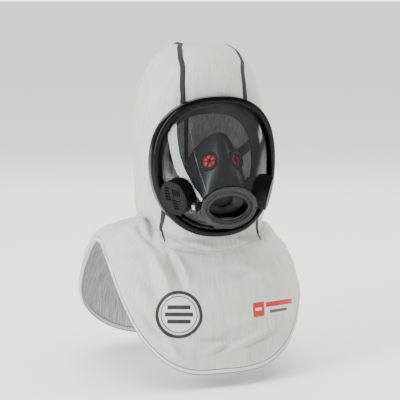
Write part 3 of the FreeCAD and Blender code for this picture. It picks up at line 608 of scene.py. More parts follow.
def plastic(name, colour, rough, grain=2600, depth=.03, gloss=.32):
    """Moulded plastic: fine grain, with faint scuffs in its gloss."""
    made = Finish(name, colour, rough, Specular_IOR_Level=gloss)
    place = made.place("Object")
    scuffs = made.noise(place, 45, 6, .7)
    made.rough(scuffs, max(rough - .06, .03), rough + .12)
    shade = tuple(c * .72 for c in colour[:3]) + (1.0,)
    made.colour(made.blend(made.ramp(made.noise(place, 140, 3), .3, .75), colour, shade))
    made.bump(made.noise(place, grain, 2), depth * MM, .6)
    return made.made


def rubber(name, colour, rough=.55):
    """Moulded rubber: matt, with pale dust in patches."""
    made = Finish(name, colour, rough, Specular_IOR_Level=.4)
    place = made.place("Object")
    dust = made.ramp(made.noise(place, 60, 5, .6), .45, .8)
    pale = tuple(min(1, c * 1.7 + .01) for c in colour[:3]) + (1.0,)
    made.colour(made.blend(made.math("MULTIPLY", dust, .6), colour, pale))
    made.rough(dust, rough - .08, rough + .15)
    made.bump(made.noise(place, 900, 2), .006 * MM, .3)
    return made.made


def metal(name, colour, rough):
    """Drawn metal: fine lines in its gloss."""
    made = Finish(name, colour, rough, Metallic=1.0)
    lines = made.noise(made.place("Object", (1, 1, 14)), 300, 2)
    made.rough(lines, rough - .08, rough + .12)
    made.bump(lines, .03 * MM, .5)
    return made.made


def clear(name, tint, share, rough=.02):
    """Clear plastic: light goes straight through, and Fresnel gives its gloss.

    Light isn't bent, so the index is inverted on the way out, where Fresnel inverts it again.
    """
    index = 1.5
    made = Finish(name, tint, rough, IOR=1.55, Specular_IOR_Level=.9)
    haze = made.noise(made.place("Object"), 35, 5, .65)
    made.rough(haze, rough, rough + .03)
    fresnel = made.nodes.new("ShaderNodeFresnel")
    leaving = made.nodes.new("ShaderNodeNewGeometry").outputs["Backfacing"]
    swing = made.math("MULTIPLY", leaving, 1 / index - index)
    made.links.new(made.math("ADD", swing, index), fresnel.inputs["IOR"])
    through = made.nodes.new("ShaderNodeBsdfTransparent")
    through.inputs["Color"].default_value = tint
    gloss = made.nodes.new("ShaderNodeBsdfGlossy")
    gloss.inputs["Roughness"].default_value = rough
    mix = made.nodes.new("ShaderNodeMixShader")
    made.links.new(made.math("ADD", fresnel.outputs[0], share), mix.inputs[0])
    made.links.new(through.outputs[0], mix.inputs[1])
    made.links.new(gloss.outputs[0], mix.inputs[2])
    made.links.new(mix.outputs[0], made.nodes["Material Output"].inputs["Surface"])
    return made.made


def webbing():
    """Woven strap: two sets of sine bands, crossed."""
    made = Finish("strap_webbing", linear(34, 34, 36), .8, Sheen_Weight=.3)
    flat = made.place("UV")
    weave = made.math("MULTIPLY", made.wave(flat, 1.1 * MM), made.wave(flat, 1.6 * MM, "Y"))
    made.colour(made.blend(weave, linear(24, 24, 26), linear(52, 52, 55)))
    made.bump(weave, .3 * MM, .8)
    return made.made


def badge_print():
    """Round badge: dark rim, pale field, and three plain bars. UV is -1 to 1 from its middle."""
    made = Finish("badge_patch", linear(52, 52, 55), .75, Sheen_Weight=.2)
    x, y = made.across_and_up()
    radius = made.math("SQRT", made.math("ADD", made.math("MULTIPLY", x, x),
                                         made.math("MULTIPLY", y, y)))
    bars = (made.math("MULTIPLY", made.within(y, at, .085), made.within(x, 0.0, half))
            for at, half in ((.3, .5), (0.0, .6), (-.3, .5)))
    border = made.math("GREATER_THAN", radius, .86)
    dark = made.highest(border, made.within(radius, .76, .02), *bars)
    weave = made.noise(made.place("Object"), 2200, 2)
    made.colour(made.blend(dark, linear(194, 193, 184), linear(34, 34, 37)))
    made.bump(weave, .12 * MM, .6).bump(dark, .2 * MM, .6)
    return made.made


def label_print():
    """Label of a plain red block and two plain bars. UV is -1 to 1 over its length and height."""
    made = Finish("label_patch", linear(190, 30, 34), .7, Sheen_Weight=.2)
    x, y = made.across_and_up()

    def area(x0, x1, y0, y1):
        """1 inside a rectangle of the UV."""
        a = made.math("MULTIPLY", made.math("GREATER_THAN", x, x0), made.math("LESS_THAN", x, x1))
        b = made.math("MULTIPLY", made.math("GREATER_THAN", y, y0), made.math("LESS_THAN", y, y1))
        return made.math("MULTIPLY", a, b)
    block = made.math("SUBTRACT", area(-.96, -.42, -.92, .86), area(-.84, -.54, -.16, .16))
    red_bar, dark_bar = area(-.34, .96, .10, .72), area(-.16, .70, -.66, -.28)
    red = made.math("MAXIMUM", block, red_bar)
    ground = made.blend(red, linear(194, 193, 184), linear(178, 18, 24))
    made.colour(made.blend(dark_bar, ground, linear(70, 68, 68)))
    made.bump(made.noise(made.place("Object"), 2200, 2), .12 * MM, .6)
    return made.made


MATERIALS = {
    "outer_knit": knit("outer_knit", linear(203, 203, 193), linear(164, 163, 152)),
    "lining_knit": melange("lining_knit"),
    "seam_thread": thread("seam_thread", linear(46, 46, 48), linear(4, 4, 5)),
    "pale_thread": thread("pale_thread", linear(196, 196, 186), linear(168, 167, 157)),
    "binding_tape": tape(),
    "elastic": thread("elastic", linear(70, 70, 72), linear(30, 30, 32)),
    "badge_patch": badge_print(),
    "label_patch": label_print(),
    "rim_plastic": plastic("rim_plastic", linear(3, 3, 4), .14, 900, .006, .17),
    "voice_plastic": plastic("voice_plastic", linear(4, 4, 5), .36, 1400, .012, .16),
    "catch_plastic": plastic("catch_plastic", linear(30, 30, 32), .25),
    "seat_plastic": plastic("seat_plastic", linear(24, 24, 25), .35),
    "lens_clear": clear("lens_clear", (.93, .94, .94, 1), .0),
    "port_clear": clear("port_clear", (.45, .46, .47, 1), .0, .03),
    "rubber": rubber("rubber", linear(8, 8, 9)),
    "cup_rubber": rubber("cup_rubber", linear(24, 23, 23), .42),
    "steel": metal("steel", linear(190, 190, 194), .3),
    "diaphragm_film": plastic("diaphragm_film", linear(150, 120, 70), .25),
    "clamp_metal": metal("clamp_metal", linear(120, 120, 124), .35),
    "valve_red": rubber("valve_red", linear(214, 40, 30), .45),
    "strap_webbing": webbing(),
}


def finish_piece(made, slot, body="hood", replaces=()):
    """Material, slot, body and the solids that a piece stands for."""
    made.data.materials.clear()
    made.data.materials.append(MATERIALS[slot])
    if body:
        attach(made, body)
    if replaces:
        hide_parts(*replaces)
    return made


def moulded(made, slot, node, body="hood"):
    """Piece of the mask with crisp edges, which stands for one node."""
    return finish_piece(sharpen(made), slot, body, [node])


def bend_at_fold(made):
    """Bakes a cloth piece's transform into its mesh."""
    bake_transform(made)
    return made


# ---------------------------------------------------------------- rim and port outlines
def rim(turn, inset, back):
    """Outline of the mask: a superellipse narrowed at the chin and wrapped back at the sides.

    turn is in degrees from the top; inset and back in millimetres.
    """
    turn, inset, back = np.broadcast_arrays(*(np.asarray(v, float) for v in (turn, inset, back)))
    s, c = np.sin(np.radians(turn)), np.cos(np.radians(turn))
    k = (np.abs(s) ** 2.4 + np.abs(c) ** 2.4) ** (-1 / 2.4)
    x = k * s * (1 - .10 * np.maximum(0, -c) ** 1.5) * (RIM_HALF_WIDTH - inset)
    z = RIM_Z + k * c * (RIM_HALF_HEIGHT - inset)
    return np.stack([x, RIM_Y + RIM_WRAP * (np.abs(x) / RIM_HALF_WIDTH) ** 2.2 + back, z], -1) * MM


def port(turn, half_width, half_height, out):
    """Ellipse round the port's axis, out millimetres in front of its seat."""
    turn, a, b, out = np.broadcast_arrays(
        *(np.asarray(v, float) for v in (turn, half_width, half_height, out)))
    s, c = np.sin(np.radians(turn)), np.cos(np.radians(turn))
    across = np.array([1.0, 0, 0])
    return (PORT_CENTRE + PORT_OUT * out[..., None] + across * (a * s)[..., None]
            + PORT_UP * (b * c)[..., None]) * MM


def rounded(corners, radius, steps=5):
    """Outline with its corners rounded: each corner is a curve between two points beside it."""
    corners = np.array(corners, float)
    n = len(corners)
    out = []
    for i in range(n):
        before, here, after = corners[i - 1], corners[i], corners[(i + 1) % n]
        reach = min(radius, .45 * np.linalg.norm(before - here), .45 * np.linalg.norm(after - here))
        a = here + (before - here) / np.linalg.norm(before - here) * reach
        b = here + (after - here) / np.linalg.norm(after - here) * reach
        u = np.linspace(0, 1, steps)[:, None]
        out.append((1 - u) ** 2 * a + 2 * u * (1 - u) * here + u * u * b)
    return np.concatenate(out)


# ---------------------------------------------------------------- cloth pieces
def face_ratio(points):
    """How far out a point in front of the head lies: 1 on the edge of the face opening."""
    x, z = points[..., 0] / MM, points[..., 2] / MM - RIM_Z
    turn = np.degrees(np.arctan2(x / RIM_HALF_WIDTH, z / RIM_HALF_HEIGHT))
    edge = rim(turn, OPENING_INSET, 0) / MM
    reach = np.hypot(edge[..., 0], edge[..., 2] - RIM_Z)
    return np.where(points[..., 1] < 0, np.hypot(x, z) / reach, 9.0)


# Crown seams of the right (-1) and left (1): distance from the middle at the front and the rear,
# how far they swing out on the way, and where in Y they do, in millimetres
CROWN_SEAMS = {-1: (43.0, 9.0, 3.0, -44.0), 1: (46.0, 17.0, 12.0, -12.0)}
CROWN_FRONT, CROWN_REAR = -80.0, 113.0


def crown_line(y, side):
    """X of a crown seam at a place in Y, in metres: a line, a Gaussian swing and small sines."""
    front, rear, swing, middle = CROWN_SEAMS[side]
    y = y / MM
    line = front + (rear - front) * (y - CROWN_FRONT) / (CROWN_REAR - CROWN_FRONT)
    out = swing * np.exp(-((y - middle) / 30) ** 2)
    wriggle = .9 * np.sin(y / 6.2 + side) + .5 * np.sin(y / 3.1)
    return side * (line + out + wriggle) * MM


def build_head():
    """Shell panels and lining of the head, from one grid of the hood's surface."""
    turns = np.linspace(-180, 180, 361)
    rows = np.concatenate([np.linspace(.0, 1, 16), np.linspace(1, NECK_ROW, 190)[1:]])
    t, r = np.meshgrid(turns, rows, indexing="ij")
    quad = quads(len(turns), len(rows), flip=True)
    down = distances(hood_base(60.0, rows))
    uv = np.stack([np.radians(t) * HEAD_HALF, np.broadcast_to(down, t.shape)], -1)
    outer = cloth(t, r)
    middle = outer.reshape(-1, 3)[quad].mean(1)
    outside = face_ratio(middle) > 1
    x, y = middle[:, 0], middle[:, 1]
    chin = (np.abs(x) < CHIN_HALF * MM) & (y < 0) & (middle[:, 2] < RIM_Z * MM)
    right, left = x < crown_line(y, -1), x > crown_line(y, 1)
    panels = {"chin_panel": chin, "crown_panel": ~chin & ~right & ~left,
              "right_side_panel": ~chin & right, "left_side_panel": ~chin & left}
    for name, chosen in panels.items():
        made = part_of_grid(name + "_cloth", outer, quad[chosen & outside], uv)
        solidify(made, SHELL_THICK)
        finish_piece(made, "outer_knit", "hood", [name])
    made = part_of_grid("head_lining_cloth", cloth(t, r, LINING_DEPTH), quad[outside], uv)
    solidify(made, LINING_THICK)
    finish_piece(made, "lining_knit", "hood", ["head_lining"])


def build_bib(word, start, end):
    """Bib of the front or the rear: shell and lining from the neck seam to the binding."""
    turns = np.linspace(start, end, 241)
    rows = np.linspace(NECK_ROW, HEM_ROW - .12, 150)
    t, r = np.meshgrid(turns, rows, indexing="ij")
    uv = np.stack([np.radians(t) * SHOULDER, r * ROW_MM * MM], -1)
    pieces = []
    for name, depth, thick, slot in (("", 0.0, SHELL_THICK, "outer_knit"),
                                     ("_lining", LINING_DEPTH, LINING_THICK, "lining_knit")):
        made = grid_piece(word + "_bib" + name + "_cloth", cloth(t, r, depth), uv, flip=True)
        solidify(made, thick)
        finish_piece(made, slot, None, [word + "_yoke" + name, word + "_bib" + name])
        pieces.append(bend_at_fold(made))
    return pieces


def build_binding(word, start, end):
    """Folded tape round the hem: a flat rounded outline carried along the hem."""
    turns = np.linspace(start, end, 421)[:, None]
    outline = rounded([(0, -.9), (BINDING_WIDTH, -.9), (BINDING_WIDTH, 3.9), (0, 3.9)], 1.6, 6) * MM
    edge = cloth(turns, HEM_ROW)
    down = unit(edge - cloth(turns, HEM_ROW - .2))
    back, deep = outline[None, :, :1], outline[None, :, 1:]
    rows = edge - down * back - hood_normal(turns, HEM_ROW) * deep
    uv = np.stack(np.broadcast_arrays(distances(edge[:, 0])[:, None], back[..., 0]), -1)
    made = tube_piece(word + "_hem_tape", rows, uv)
    finish_piece(made, "binding_tape", None, [word + "_hem_binding", word + "_arch_binding"])
    return bend_at_fold(made)


def strip_on_cloth(name, turns, rows, half_widths, height, period, depth=0.0):
    """Domed thread strip along a path on the cloth, or on its inside at a depth.

    Height across is 1 - a^4, and the loops raised on it are sines of the length plus a slant.
    """
    lift, sunk = .1 * MM, .3 * MM
    length = distances(cloth(turns, rows, depth))
    count = max(12, int(length[-1] / (period / 6)))
    at = np.linspace(0, length[-1], count)
    t, r, w = (np.interp(at, length, v) for v in (turns, rows, half_widths))
    path = cloth(t, r, depth)
    normal = hood_normal(t, r) * (-1 if depth else 1)
    side = np.cross(normal, unit(np.gradient(path, axis=0)))
    across = np.linspace(-1, 1, 11)
    loops = .5 + .5 * np.sin(2 * np.pi * (at[:, None] / period + .35 * np.abs(across)[None, :]))
    dome = (1 - across ** 4)[None, :] * height * (.55 + .45 * loops)
    there_and_back = np.concatenate([across, across[::-1]])
    out = np.concatenate([dome + lift, np.full_like(dome, -sunk)], 1)
    rows3 = (path[:, None] + side[:, None] * (w[:, None] * there_and_back)[..., None]
             + normal[:, None] * out[..., None])
    uv = np.stack(np.broadcast_arrays(there_and_back[None, :] * SEAM_HALF, at[:, None]), -1)
    return tube_piece(name, rows3, uv)


def solve_turn(target, rows, low, high):
    """Turn at which target(point) is zero on each row, by halving between low and high."""
    a, b = np.full(rows.shape, float(low)), np.full(rows.shape, float(high))
    sign = np.sign(target(hood_base(a, rows)))
    for _ in range(40):
        mid = (a + b) / 2
        same = np.sign(target(hood_base(mid, rows))) == sign
        a, b = np.where(same, mid, a), np.where(same, b, mid)
    return (a + b) / 2


def build_crown_seam(side, name):
    """Seam cover where the upright crown plane meets the hood: down the front and the back."""
    def off_line(p):
        return side * (p[..., 0] - crown_line(p[..., 1], side))
    probe = np.linspace(.05, 3, 400)
    summit = probe[np.argmax(off_line(hood_base(side * 90, probe)) > 0)]
    share = np.linspace(0, 1, 160) ** 2
    front_rows = summit + .002 + (4.4 - summit) * share[::-1]
    rear_rows = summit + .002 + (9.9 - summit) * share
    turns = np.concatenate([solve_turn(off_line, front_rows, side * 90, 0),
                            solve_turn(off_line, rear_rows, side * 90, side * 180)])
    rows = np.concatenate([front_rows, rear_rows])
    keep = face_ratio(cloth(turns, rows)) > 1.02
    turns, rows = turns[keep], rows[keep]
    made = strip_on_cloth(name + "_cover", turns, rows, np.full(rows.shape, SEAM_HALF), .9 * MM,
                          2.2 * MM)
    finish_piece(made, "seam_thread", "hood", [name])
    made = strip_on_cloth(name + "_inside", turns, rows, np.full(rows.shape, SEAM_HALF * .8),
                          .6 * MM, 2.2 * MM, LINING_DEPTH + LINING_THICK)
    finish_piece(made, "seam_thread", "hood", [name])


def build_chin_seams():
    """Two seam covers under the mask, wide at the rim and pointed at the neck."""
    for side in (-1, 1):
        rows = np.linspace(8.0, 10.4, 70)
        out = (CHIN_HALF if side < 0 else LEFT_CHIN_SEAM) * MM
        turns = solve_turn(lambda p: side * p[..., 0] - out, rows, side * 90, 0)
        widths = SEAM_HALF * np.interp(np.linspace(0, 1, 70), [0, .5, 1], [.9, .75, .2])
        keep = face_ratio(cloth(turns, rows)) > 1.0
        word = "right" if side < 0 else "left"
        made = strip_on_cloth(word + "_chin_seam", turns[keep], rows[keep], widths[keep], .9 * MM,
                              2.2 * MM)
        finish_piece(made, "seam_thread", "hood", ["chin_seams"])


def build_pale_seams():
    """Shoulder seams and the neck seam, in thread of the cloth's colour."""
    for turn, word in ((-90, "right"), (90, "left")):
        rows = np.linspace(NECK_ROW + .1, HEM_ROW - .3, 60)
        turns = np.full(rows.shape, float(turn))
        made = strip_on_cloth(word + "_shoulder_seam", turns, rows, np.full(rows.shape, 2.4 * MM),
                              .5 * MM, 2.0 * MM)
        finish_piece(made, "pale_thread", "hood", ["shoulder_seams"])
    for start, word in ((-180, "right"), (0, "left")):
        turns = np.linspace(start, start + 180, 200)
        rows = np.full(turns.shape, NECK_ROW + .02)
        made = strip_on_cloth(word + "_neck_seam", turns, rows, np.full(turns.shape, 1.6 * MM),
                              .4 * MM, 2.0 * MM)
        finish_piece(made, "pale_thread", "hood", ["neck_seam"])


def build_opening_edge():
    """Gathered elastic edge of the face opening: an oval tube on the cloth, puckered by a sine."""
    turns = round_turns(720)[:, 0]
    edge = rim(turns, OPENING_INSET - .5, 0)
    x, z = np.abs(edge[:, 0]), edge[:, 2]
    rows = np.linspace(3, 9.9, 400)
    heights = sections_at(rows)[:, 0] * MM
    row = np.interp(-z, -heights, rows)
    angle = solve_turn(lambda p: np.abs(p[..., 0]) - x, row, 0, 90)
    angle = np.where(edge[:, 0] < 0, -angle, angle)
    path = cloth(angle, row, 1.2 * MM)
    normal = hood_normal(angle, row)
    side = np.cross(normal, unit(np.roll(path, -1, 0) - np.roll(path, 1, 0)))
    ring = np.linspace(0, 2 * np.pi, 13)[:-1]
    pucker = 1 + .12 * np.sin(np.radians(turns) * 90)[:, None]
    rows3 = (path[:, None] + side[:, None] * (3.0 * MM * np.cos(ring) * pucker)[..., None]
             + normal[:, None] * (2.1 * MM * np.sin(ring) * pucker)[..., None])
    made = outward(swept_piece("face_opening_edge", rows3, True))
    return finish_piece(made, "elastic", "hood", ["face_casing", "face_elastic"])


def patch_on_bib(name, box, lean, slot, inside):
    """Thin patch on the front bib, upright in the view, with UV from -1 to 1 over its box.

    The box is left, right, low and high in the view, in millimetres; lean is half its rise from
    left to right, and inside says which places of it are cloth.
    """
    n = 161
    left, right, low, high = box
    u, v = np.meshgrid(np.linspace(-1, 1, n), np.linspace(-1, 1, n), indexing="ij")
    across = (left + right) / 2 + u * (right - left) / 2
    up = (low + high) / 2 + v * (high - low) / 2 + lean * u
    t, r = on_front(across, up)
    uv = np.stack([u, v], -1)
    faces = quads(n, n)
    faces = faces[inside(*np.moveaxis(uv.reshape(-1, 2)[faces].mean(1), -1, 0))]
    made = part_of_grid(name + "_patch", cloth(t, r, -PATCH_LIFT), faces, uv)
    solidify(made, PATCH_THICK)
    finish_piece(made, slot, None, [name])
    return bend_at_fold(made)


# ---------------------------------------------------------------- mask pieces
def build_rim():
    """Two halves of the glossy rim: a rounded section with a groove, carried round the outline."""
    section = rounded([(0, -6.5), (2.2, -9), (7.2, -9), (9.4, -6), (9.0, -3.7), (4.6, -3.7),
                       (4.6, 3.7), (9.0, 3.7), (9.0, 8), (1, 8), (-.2, 6)], 1.5, 5)
    for name, t0, t1 in (("upper_rim", -80, 80), ("lower_rim", 80.3, 279.7)):
        turns = np.linspace(t0, t1, int((t1 - t0) / 1.25))[:, None]
        rows = rim(turns, section[None, :, 0], section[None, :, 1])
        moulded(outward(swept_piece(name + "_shell", rows, False)), "rim_plastic", name)


def lens_grid(depth):
    """Lens surface: straight lines from the rim's groove to the port, rounded where they leave it."""
    turns = round_turns(240)
    share = np.linspace(0, 1, 40)[None, :]
    outer = rim(turns, 10.2 + depth * .6, LENS_FRONT + depth)
    inner = port(turns, 34 - depth * .6, 24.5 - depth * .6, -6.0 - depth)
    line = outer * (1 - share[..., None]) + inner * share[..., None]
    bulge = 5.5 * MM * np.sin(np.pi * share) * np.exp(-2.2 * share)
    return line + np.array([0, -1.0, 0]) * bulge[..., None]


def build_lens():
    """Clear lens with its edge in the groove: front and back surfaces joined at both ends."""
    turns = round_turns(240)
    front, back = lens_grid(0), lens_grid(LENS_THICK)
    edges = [rim(turns, GROOVE_INSET, y) for y in (LENS_FRONT, LENS_FRONT + LENS_THICK)]
    rows = np.concatenate([edges[0], front, back[:, ::-1], edges[1]], 1)
    moulded(outward(swept_piece("lens_shell", rows, True)), "lens_clear", "lens")


def build_seal():
    """Rubber face seal: flange in the groove, neck through the hood and a lip on the face."""
    inset, back = rounded([(GROOVE_INSET, 1.2), (12.2, 1.2), (13.5, 3.4), (12.8, 26), (25, 30),
                           (25.2, 32), (10.6, 28.5), (10.4, 3.5), (GROOVE_INSET, 3.4)], 1.2, 4).T
    rows = rim(round_turns(240), inset[None, :], back[None, :])
    moulded(outward(swept_piece("face_seal_skin", rows, True)), "rubber", "face_seal")


def cup(turn, share):
    """Nose cup: lines from the port's sleeve to a rim on the face, bulged forwards."""
    turn, share = np.broadcast_arrays(turn, share)
    neck = port(turn, PORT_BORE[0] + SLEEVE_OUT, PORT_BORE[1] + SLEEVE_OUT, -14) / MM
    s, c = np.sin(np.radians(turn)), np.cos(np.radians(turn))
    edge = np.stack([44 * s * (1 - .35 * c), -78 + 26 * np.abs(s) ** 1.5 + 2 * (1 - c), 59 * c], -1)
    bulge = 8 * 4 * share * (1 - share) * (.35 + .65 * np.maximum(0, c))
    return (neck * (1 - share[..., None]) + edge * share[..., None]
            - np.array([0, 1.0, 0]) * bulge[..., None]) * MM


def build_cup():
    """Shell of the nose cup, holed round each inhalation valve."""
    skin = cup(round_turns(360), np.linspace(0, 1, 120)[None, :])
    faces = quads(360, 120, close_u=True)
    middle = skin.reshape(-1, 3)[faces].mean(1)
    open_at = np.zeros(len(faces), bool)
    for side in ("right", "left"):
        low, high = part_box(side + "_valve_seat")
        centre = (np.array(low) + np.array(high)) / 2
        open_at |= np.linalg.norm(middle - centre, axis=-1) < VALVE_HOLE
    made = part_of_grid("nose_cup_shell", skin, faces[~open_at])
    solidify(made, CUP_THICK)
    finish_piece(made, "cup_rubber", "hood", ["nose_cup"])


def crossways(axis):
    """Two unit vectors square to an axis and to each other."""
    first = unit(np.cross(axis, [0, 0, 1.0]))
    return first, np.cross(axis, first)


def lathe(name, centre, axis, profile):
    """Ring of revolution: the profile's (radius, height) in millimetres, turned about the axis."""
    first, second = crossways(axis)
    a = np.radians(round_turns(64))[..., None]
    radius, height = profile[None, :, :1] * MM, profile[None, :, 1:] * MM
    rows = centre + radius * (np.cos(a) * first + np.sin(a) * second) + height * axis
    return outward(swept_piece(name, rows, True))


# Rings of an inhalation valve: rounding, its steps, and the outline as radius and height above the
# seat, in millimetres
VALVE_RINGS = {
    "boss": (1.4, 4, [(14.8, -7), (13.2, -1.5), (12.2, 1.2), (11.2, 2.0), (10.2, 1.6), (9.3, .5),
                      (9.2, -3), (11, -8)]),
    "lip": (.4, 3, [(9.6, .6), (8.3, 1.1), (8.1, .2), (9.6, -.8)]),
    "hub": (.3, 3, [(.05, 1.3), (2.0, 1.2), (2.4, .4), (2.4, -1.2), (.05, -1.2)]),
    "flap": (.3, 3, [(.05, -1.7), (5, -1.5), (8.7, -1.9), (8.7, -2.4), (.05, -2.5)]),
}
VALVE_SPOKES = 6
SPOKE_LENGTH = 9.3
SPOKE_SECTION = [(-.65, -.7), (.65, -.7), (.5, .7), (-.5, .7)]


def build_spokes(word, centre, axis):
    """Spokes of a valve's seat: a small rounded section carried outwards from the middle."""
    first, second = crossways(axis)
    section = rounded(SPOKE_SECTION, .3, 3)[None, :]
    ends = np.array([0.0, SPOKE_LENGTH])[:, None, None]
    for k in range(VALVE_SPOKES):
        a = math.radians(360 / VALVE_SPOKES * k + 12)
        along = np.cos(a) * first + np.sin(a) * second
        rows = centre + (ends * along + section[..., :1] * np.cross(axis, along)
                         + section[..., 1:] * axis) * MM
        made = outward(swept_piece(word + "_valve_spoke_%d" % (k + 1), rows, False))
        moulded(made, "seat_plastic", word + "_valve_seat")


def build_valves():
    """Inhalation valves: a round seat with spokes on a raised boss, and a red disc behind."""
    for side, word in ((-1, "right"), (1, "left")):
        low, high = (np.array(v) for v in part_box(word + "_valve_seat"))
        axis = unit(np.array([side * .50, -.78, .38]))
        centre = (low + high) / 2 + axis * 1.2 * MM

        def ring(name):
            """One of the valve's rings, turned about its axis."""
            radius, steps, outline = VALVE_RINGS[name]
            return lathe(word + "_valve_" + name, centre, axis, rounded(outline, radius, steps))
        for name in ("boss", "lip"):
            moulded(ring(name), "seat_plastic", word + "_valve_seat")
        build_spokes(word, centre, axis)
        moulded(ring("hub"), "seat_plastic", word + "_valve_seat")
        moulded(ring("flap"), "valve_red", word + "_valve_disc", word + "_valve")


def build_port_inside():
    """Rubber neck of the nose cup behind the port, narrowing to a round hole, and its flap: a black
    rubber disc closing the hole from behind, partly a valve flap and partly painted shade for the dark
    inside of the port.
    """
    beyond, out = rounded([(SLEEVE_OUT, -9), (SLEEVE_OUT, -22), (-2, -25), (-13, -26.4), (-13, -25),
                           (-2, -23), (2.4, -20.6), (2.4, -9)], .8, 3).T[:, None]
    narrow = np.clip(-(beyond + 1) / 12, 0, 1)
    half_width = PORT_BORE[0] + beyond
    half_height = PORT_BORE[1] + beyond * (1 - narrow) + narrow * -5.5
    rows = port(round_turns(120), half_width, half_height, out)
    rows = rows + PORT_UP * (NECK_RISE * narrow)[..., None]
    moulded(outward(swept_piece("nose_cup_neck_skin", rows, True)), "cup_rubber", "nose_cup_neck")
    # Flap: black disc behind the hole, partly a valve flap and partly painted shade standing in for the
    # dark inside of the port
    share = np.linspace(0, 1, 12)[None, :]
    dome = -27.2 + 1.2 * (1 - share ** 2)
    front = port(round_turns(72), 14.5 * share, 11.5 * share, dome) + PORT_UP * NECK_RISE
    made = grid_piece("port_flap_painted_shade", front, close_u=True, flip=True)
    solidify(mend(made, merge=True), .8 * MM)
    finish_piece(made, "rubber", "hood")


def build_straps():
    """Harness webbing close under the lining: flat bands with rounded edges."""
    for name, front, rear in (("upper_straps", 5.55, 7.68), ("lower_straps", 8.05, 8.15)):
        for side, word in ((-1, "right"), (1, "left")):
            share = np.linspace(0, 1, 90)[:, None]
            section = rounded([(-1, 0), (1, 0), (1, 1.6), (-1, 1.6)], .5, 3)
            turn = side * (74 + (159.4 - 74) * share)
            row = front + (rear - front) * share + .21 * section[None, :, 0]
            turn = np.broadcast_to(turn, row.shape)
            normal = hood_normal(turn, row)
            rows = hood_base(turn, row) - normal * (6 + section[None, :, 1])[..., None] * MM
            uv = np.stack(np.broadcast_arrays(share * .12, section[None, :, 0] * .008), -1)
            made = tube_piece(word + "_" + name[:-1], rows, uv)
            finish_piece(made, "strap_webbing", "hood", [name])


def build_gaskets():
    """Rubber gaskets of the port and of both voice units, with rounded edges."""
    share, out = rounded([(0, -2.5), (1, -2.5), (1, -1.2), (0, -1.2)], .3, 3).T[:, None]
    rows = port(round_turns(120), 31.2 - 2.7 * share, 21.7 - 3.7 * share, out)
    moulded(outward(swept_piece("port_gasket_rubber", rows, True)), "rubber", "port_gasket")
    profile = rounded([(14, -7.95), (18.4, -7.95), (18.4, -6.85), (14, -6.85)], .3, 3)
    for side, word in ((-1, "right"), (1, "left")):
        centre, axis = np.array([side * 66, -90, -22]) * MM, unit(np.array([side * .86, -.46, -.22]))
        moulded(lathe(word + "_voice_gasket", centre, axis, profile), "rubber", "voice_gaskets")


def build_pad():
    """Soft pad behind the head: a rounded oblong on the hood's curve, plump in the middle."""
    angles, q = np.broadcast_arrays(np.radians(round_turns(96)), np.linspace(0, 1, 20)[None, :])
    c, s = np.cos(angles), np.sin(angles)
    k = q * (np.abs(c) ** 5 + np.abs(s) ** 5) ** (-1 / 5)
    turn, row = 180 + 19.5 * k * c, 7.95 + .48 * k * s
    normal = hood_normal(turn, row)
    plump = (1 - q ** 4)[..., None]
    outer = hood_base(turn, row) - normal * (6.6 - .6 * plump) * MM
    inner = hood_base(turn, row) - normal * (6.8 + 2.2 * plump) * MM
    rows = np.concatenate([outer, inner[:, ::-1]], 1)
    made = outward(grid_piece("harness_pad_foam", rows, close_u=True))
    finish_piece(made, "strap_webbing", "hood", ["harness_pad"])


def keep_solids():
    """Solids that are shown as they are get their slot's material."""
    slots = {s["node"]: s["material_slot"] for s in frame["record"]["subparts"]}
    for name, made in frame["nodes"].items():
        if made.hide_render:
            continue
        made.data.materials.clear()
        made.data.materials.append(MATERIALS[slots[name]])


# ---------------------------------------------------------------- stage
FLOOR_HALF = 1500.0         # metres, so that its edge is the horizon
FLOOR_BELOW = 12 * MM
WORLD_ON_OBJECT = .34       # strength of the white surroundings as a light
WORLD_SEEN = 4.0            # and behind the object


def area_light(name, place, aim, size, power, colour=(1, 1, 1), glossy=True):
    """Soft rectangular light; one that is not glossy leaves no reflection."""
    data = bpy.data.lights.new(name, "AREA")
    data.shape = "RECTANGLE"
    data.size, data.size_y = size
    data.energy = power
    data.color = colour
    made = bpy.data.objects.new(name, data)
    made.location = place
    made.rotation_euler = (Vector(place) - Vector(aim)).to_track_quat("Z", "Y").to_euler()
    made.visible_glossy = glossy
    bpy.context.scene.collection.objects.link(made)
    return made


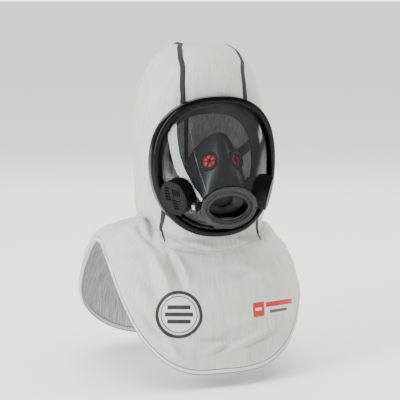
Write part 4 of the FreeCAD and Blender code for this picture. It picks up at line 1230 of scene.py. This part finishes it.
def build_stage():
    """Pale floor, white surroundings and soft lights."""
    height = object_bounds()[0][2] - FLOOR_BELOW
    points = np.array([(x * FLOOR_HALF, y * FLOOR_HALF, height)
                       for x, y in ((-1, -1), (1, -1), (1, 1), (-1, 1))])
    floor = mesh_object("floor", points, np.array([[0, 1, 2, 3]]), smooth=False)
    pale = Finish("floor_paint", (.96, .96, .96, 1), .9)
    pale.rough(pale.noise(pale.place("Object"), 4, 2), .85, .95)
    floor.data.materials.append(pale.made)
    world = bpy.data.worlds.new("studio")
    world.use_nodes = True
    nodes, links = world.node_tree.nodes, world.node_tree.links
    seen = nodes.new("ShaderNodeLightPath")
    level = nodes.new("ShaderNodeMapRange")
    level.inputs["To Min"].default_value = WORLD_ON_OBJECT
    level.inputs["To Max"].default_value = WORLD_SEEN
    links.new(seen.outputs["Is Camera Ray"], level.inputs["Value"])
    links.new(level.outputs["Result"], nodes["Background"].inputs["Strength"])
    nodes["Background"].inputs["Color"].default_value = (1, 1, 1, 1)
    bpy.context.scene.world = world
    middle = (0, 0, -40 * MM)
    area_light("left_soft", (-2.0, -.5, .9), middle, (1.0, 1.2), 42, (.88, .95, 1), False)
    area_light("right_soft", (2.1, -.5, .8), middle, (1.0, 1.2), 36, (1, .99, .97), False)
    area_light("top_soft", (-.3, -.9, 2.1), middle, (1.0, 1.0), 10, (1, .99, .96), False)
    sky = bpy.data.lights.new("overhead", "SUN")
    sky.energy = 3.4
    sky.angle = math.radians(70)
    overhead = bpy.data.objects.new("overhead", sky)
    overhead.visible_glossy = False
    bpy.context.scene.collection.objects.link(overhead)
    area_light("behind", (.4, 1.7, 1.0), middle, (1.4, 1.0), 16, (1, 1, 1), False)
    area_light("left_strip", (-2.08, -.88, .75), middle, (.62, 1.9), 62, (.88, .95, 1))
    area_light("thin_strip", (-1.35, -1.95, .75), middle, (.03, 1.8), 1.0, (1, 1, 1))
    area_light("right_strip", (2.1, .35, .7), middle, (.25, 1.0), 5, (1, 1, 1))


def build_camera():
    """Camera in front, to the wearer's right and a little above the head's middle."""
    data = bpy.data.cameras.new("camera")
    data.sensor_width = 36
    data.lens = 113.3
    made = bpy.data.objects.new("camera", data)
    made.location = VIEW_BACK * VIEW_DISTANCE - VIEW_UP * VIEW_BELOW * MM
    made.rotation_euler = Vector(VIEW_BACK).to_track_quat("Z", "Y").to_euler()
    bpy.context.scene.collection.objects.link(made)
    bpy.context.scene.camera = made


build_camera()
build_head()
front_shell, front_lining = build_bib("front", -90, 90)
rear_shell, rear_lining = build_bib("rear", 90, 270)
front_tape = build_binding("front", -90, 90)
rear_tape = build_binding("rear", 90, 270)
build_crown_seam(-1, "right_crown_seam")
build_crown_seam(1, "left_crown_seam")
build_chin_seams()
build_pale_seams()
build_opening_edge()
badge = patch_on_bib("chest_badge", (-60, 3, -227, -163), 0, "badge_patch",
                     lambda u, v: np.hypot(u, v) < 1)
label = patch_on_bib("chest_label", (70, 125, -196, -174), 4, "label_patch",
                     lambda u, v: (np.abs(u) < .99) & (np.abs(v) < .96))
build_rim()
build_lens()
build_seal()
build_cup()
build_valves()
build_port_inside()
build_gaskets()
build_straps()
build_pad()
keep_solids()
build_stage()

bpy.context.view_layer.update()
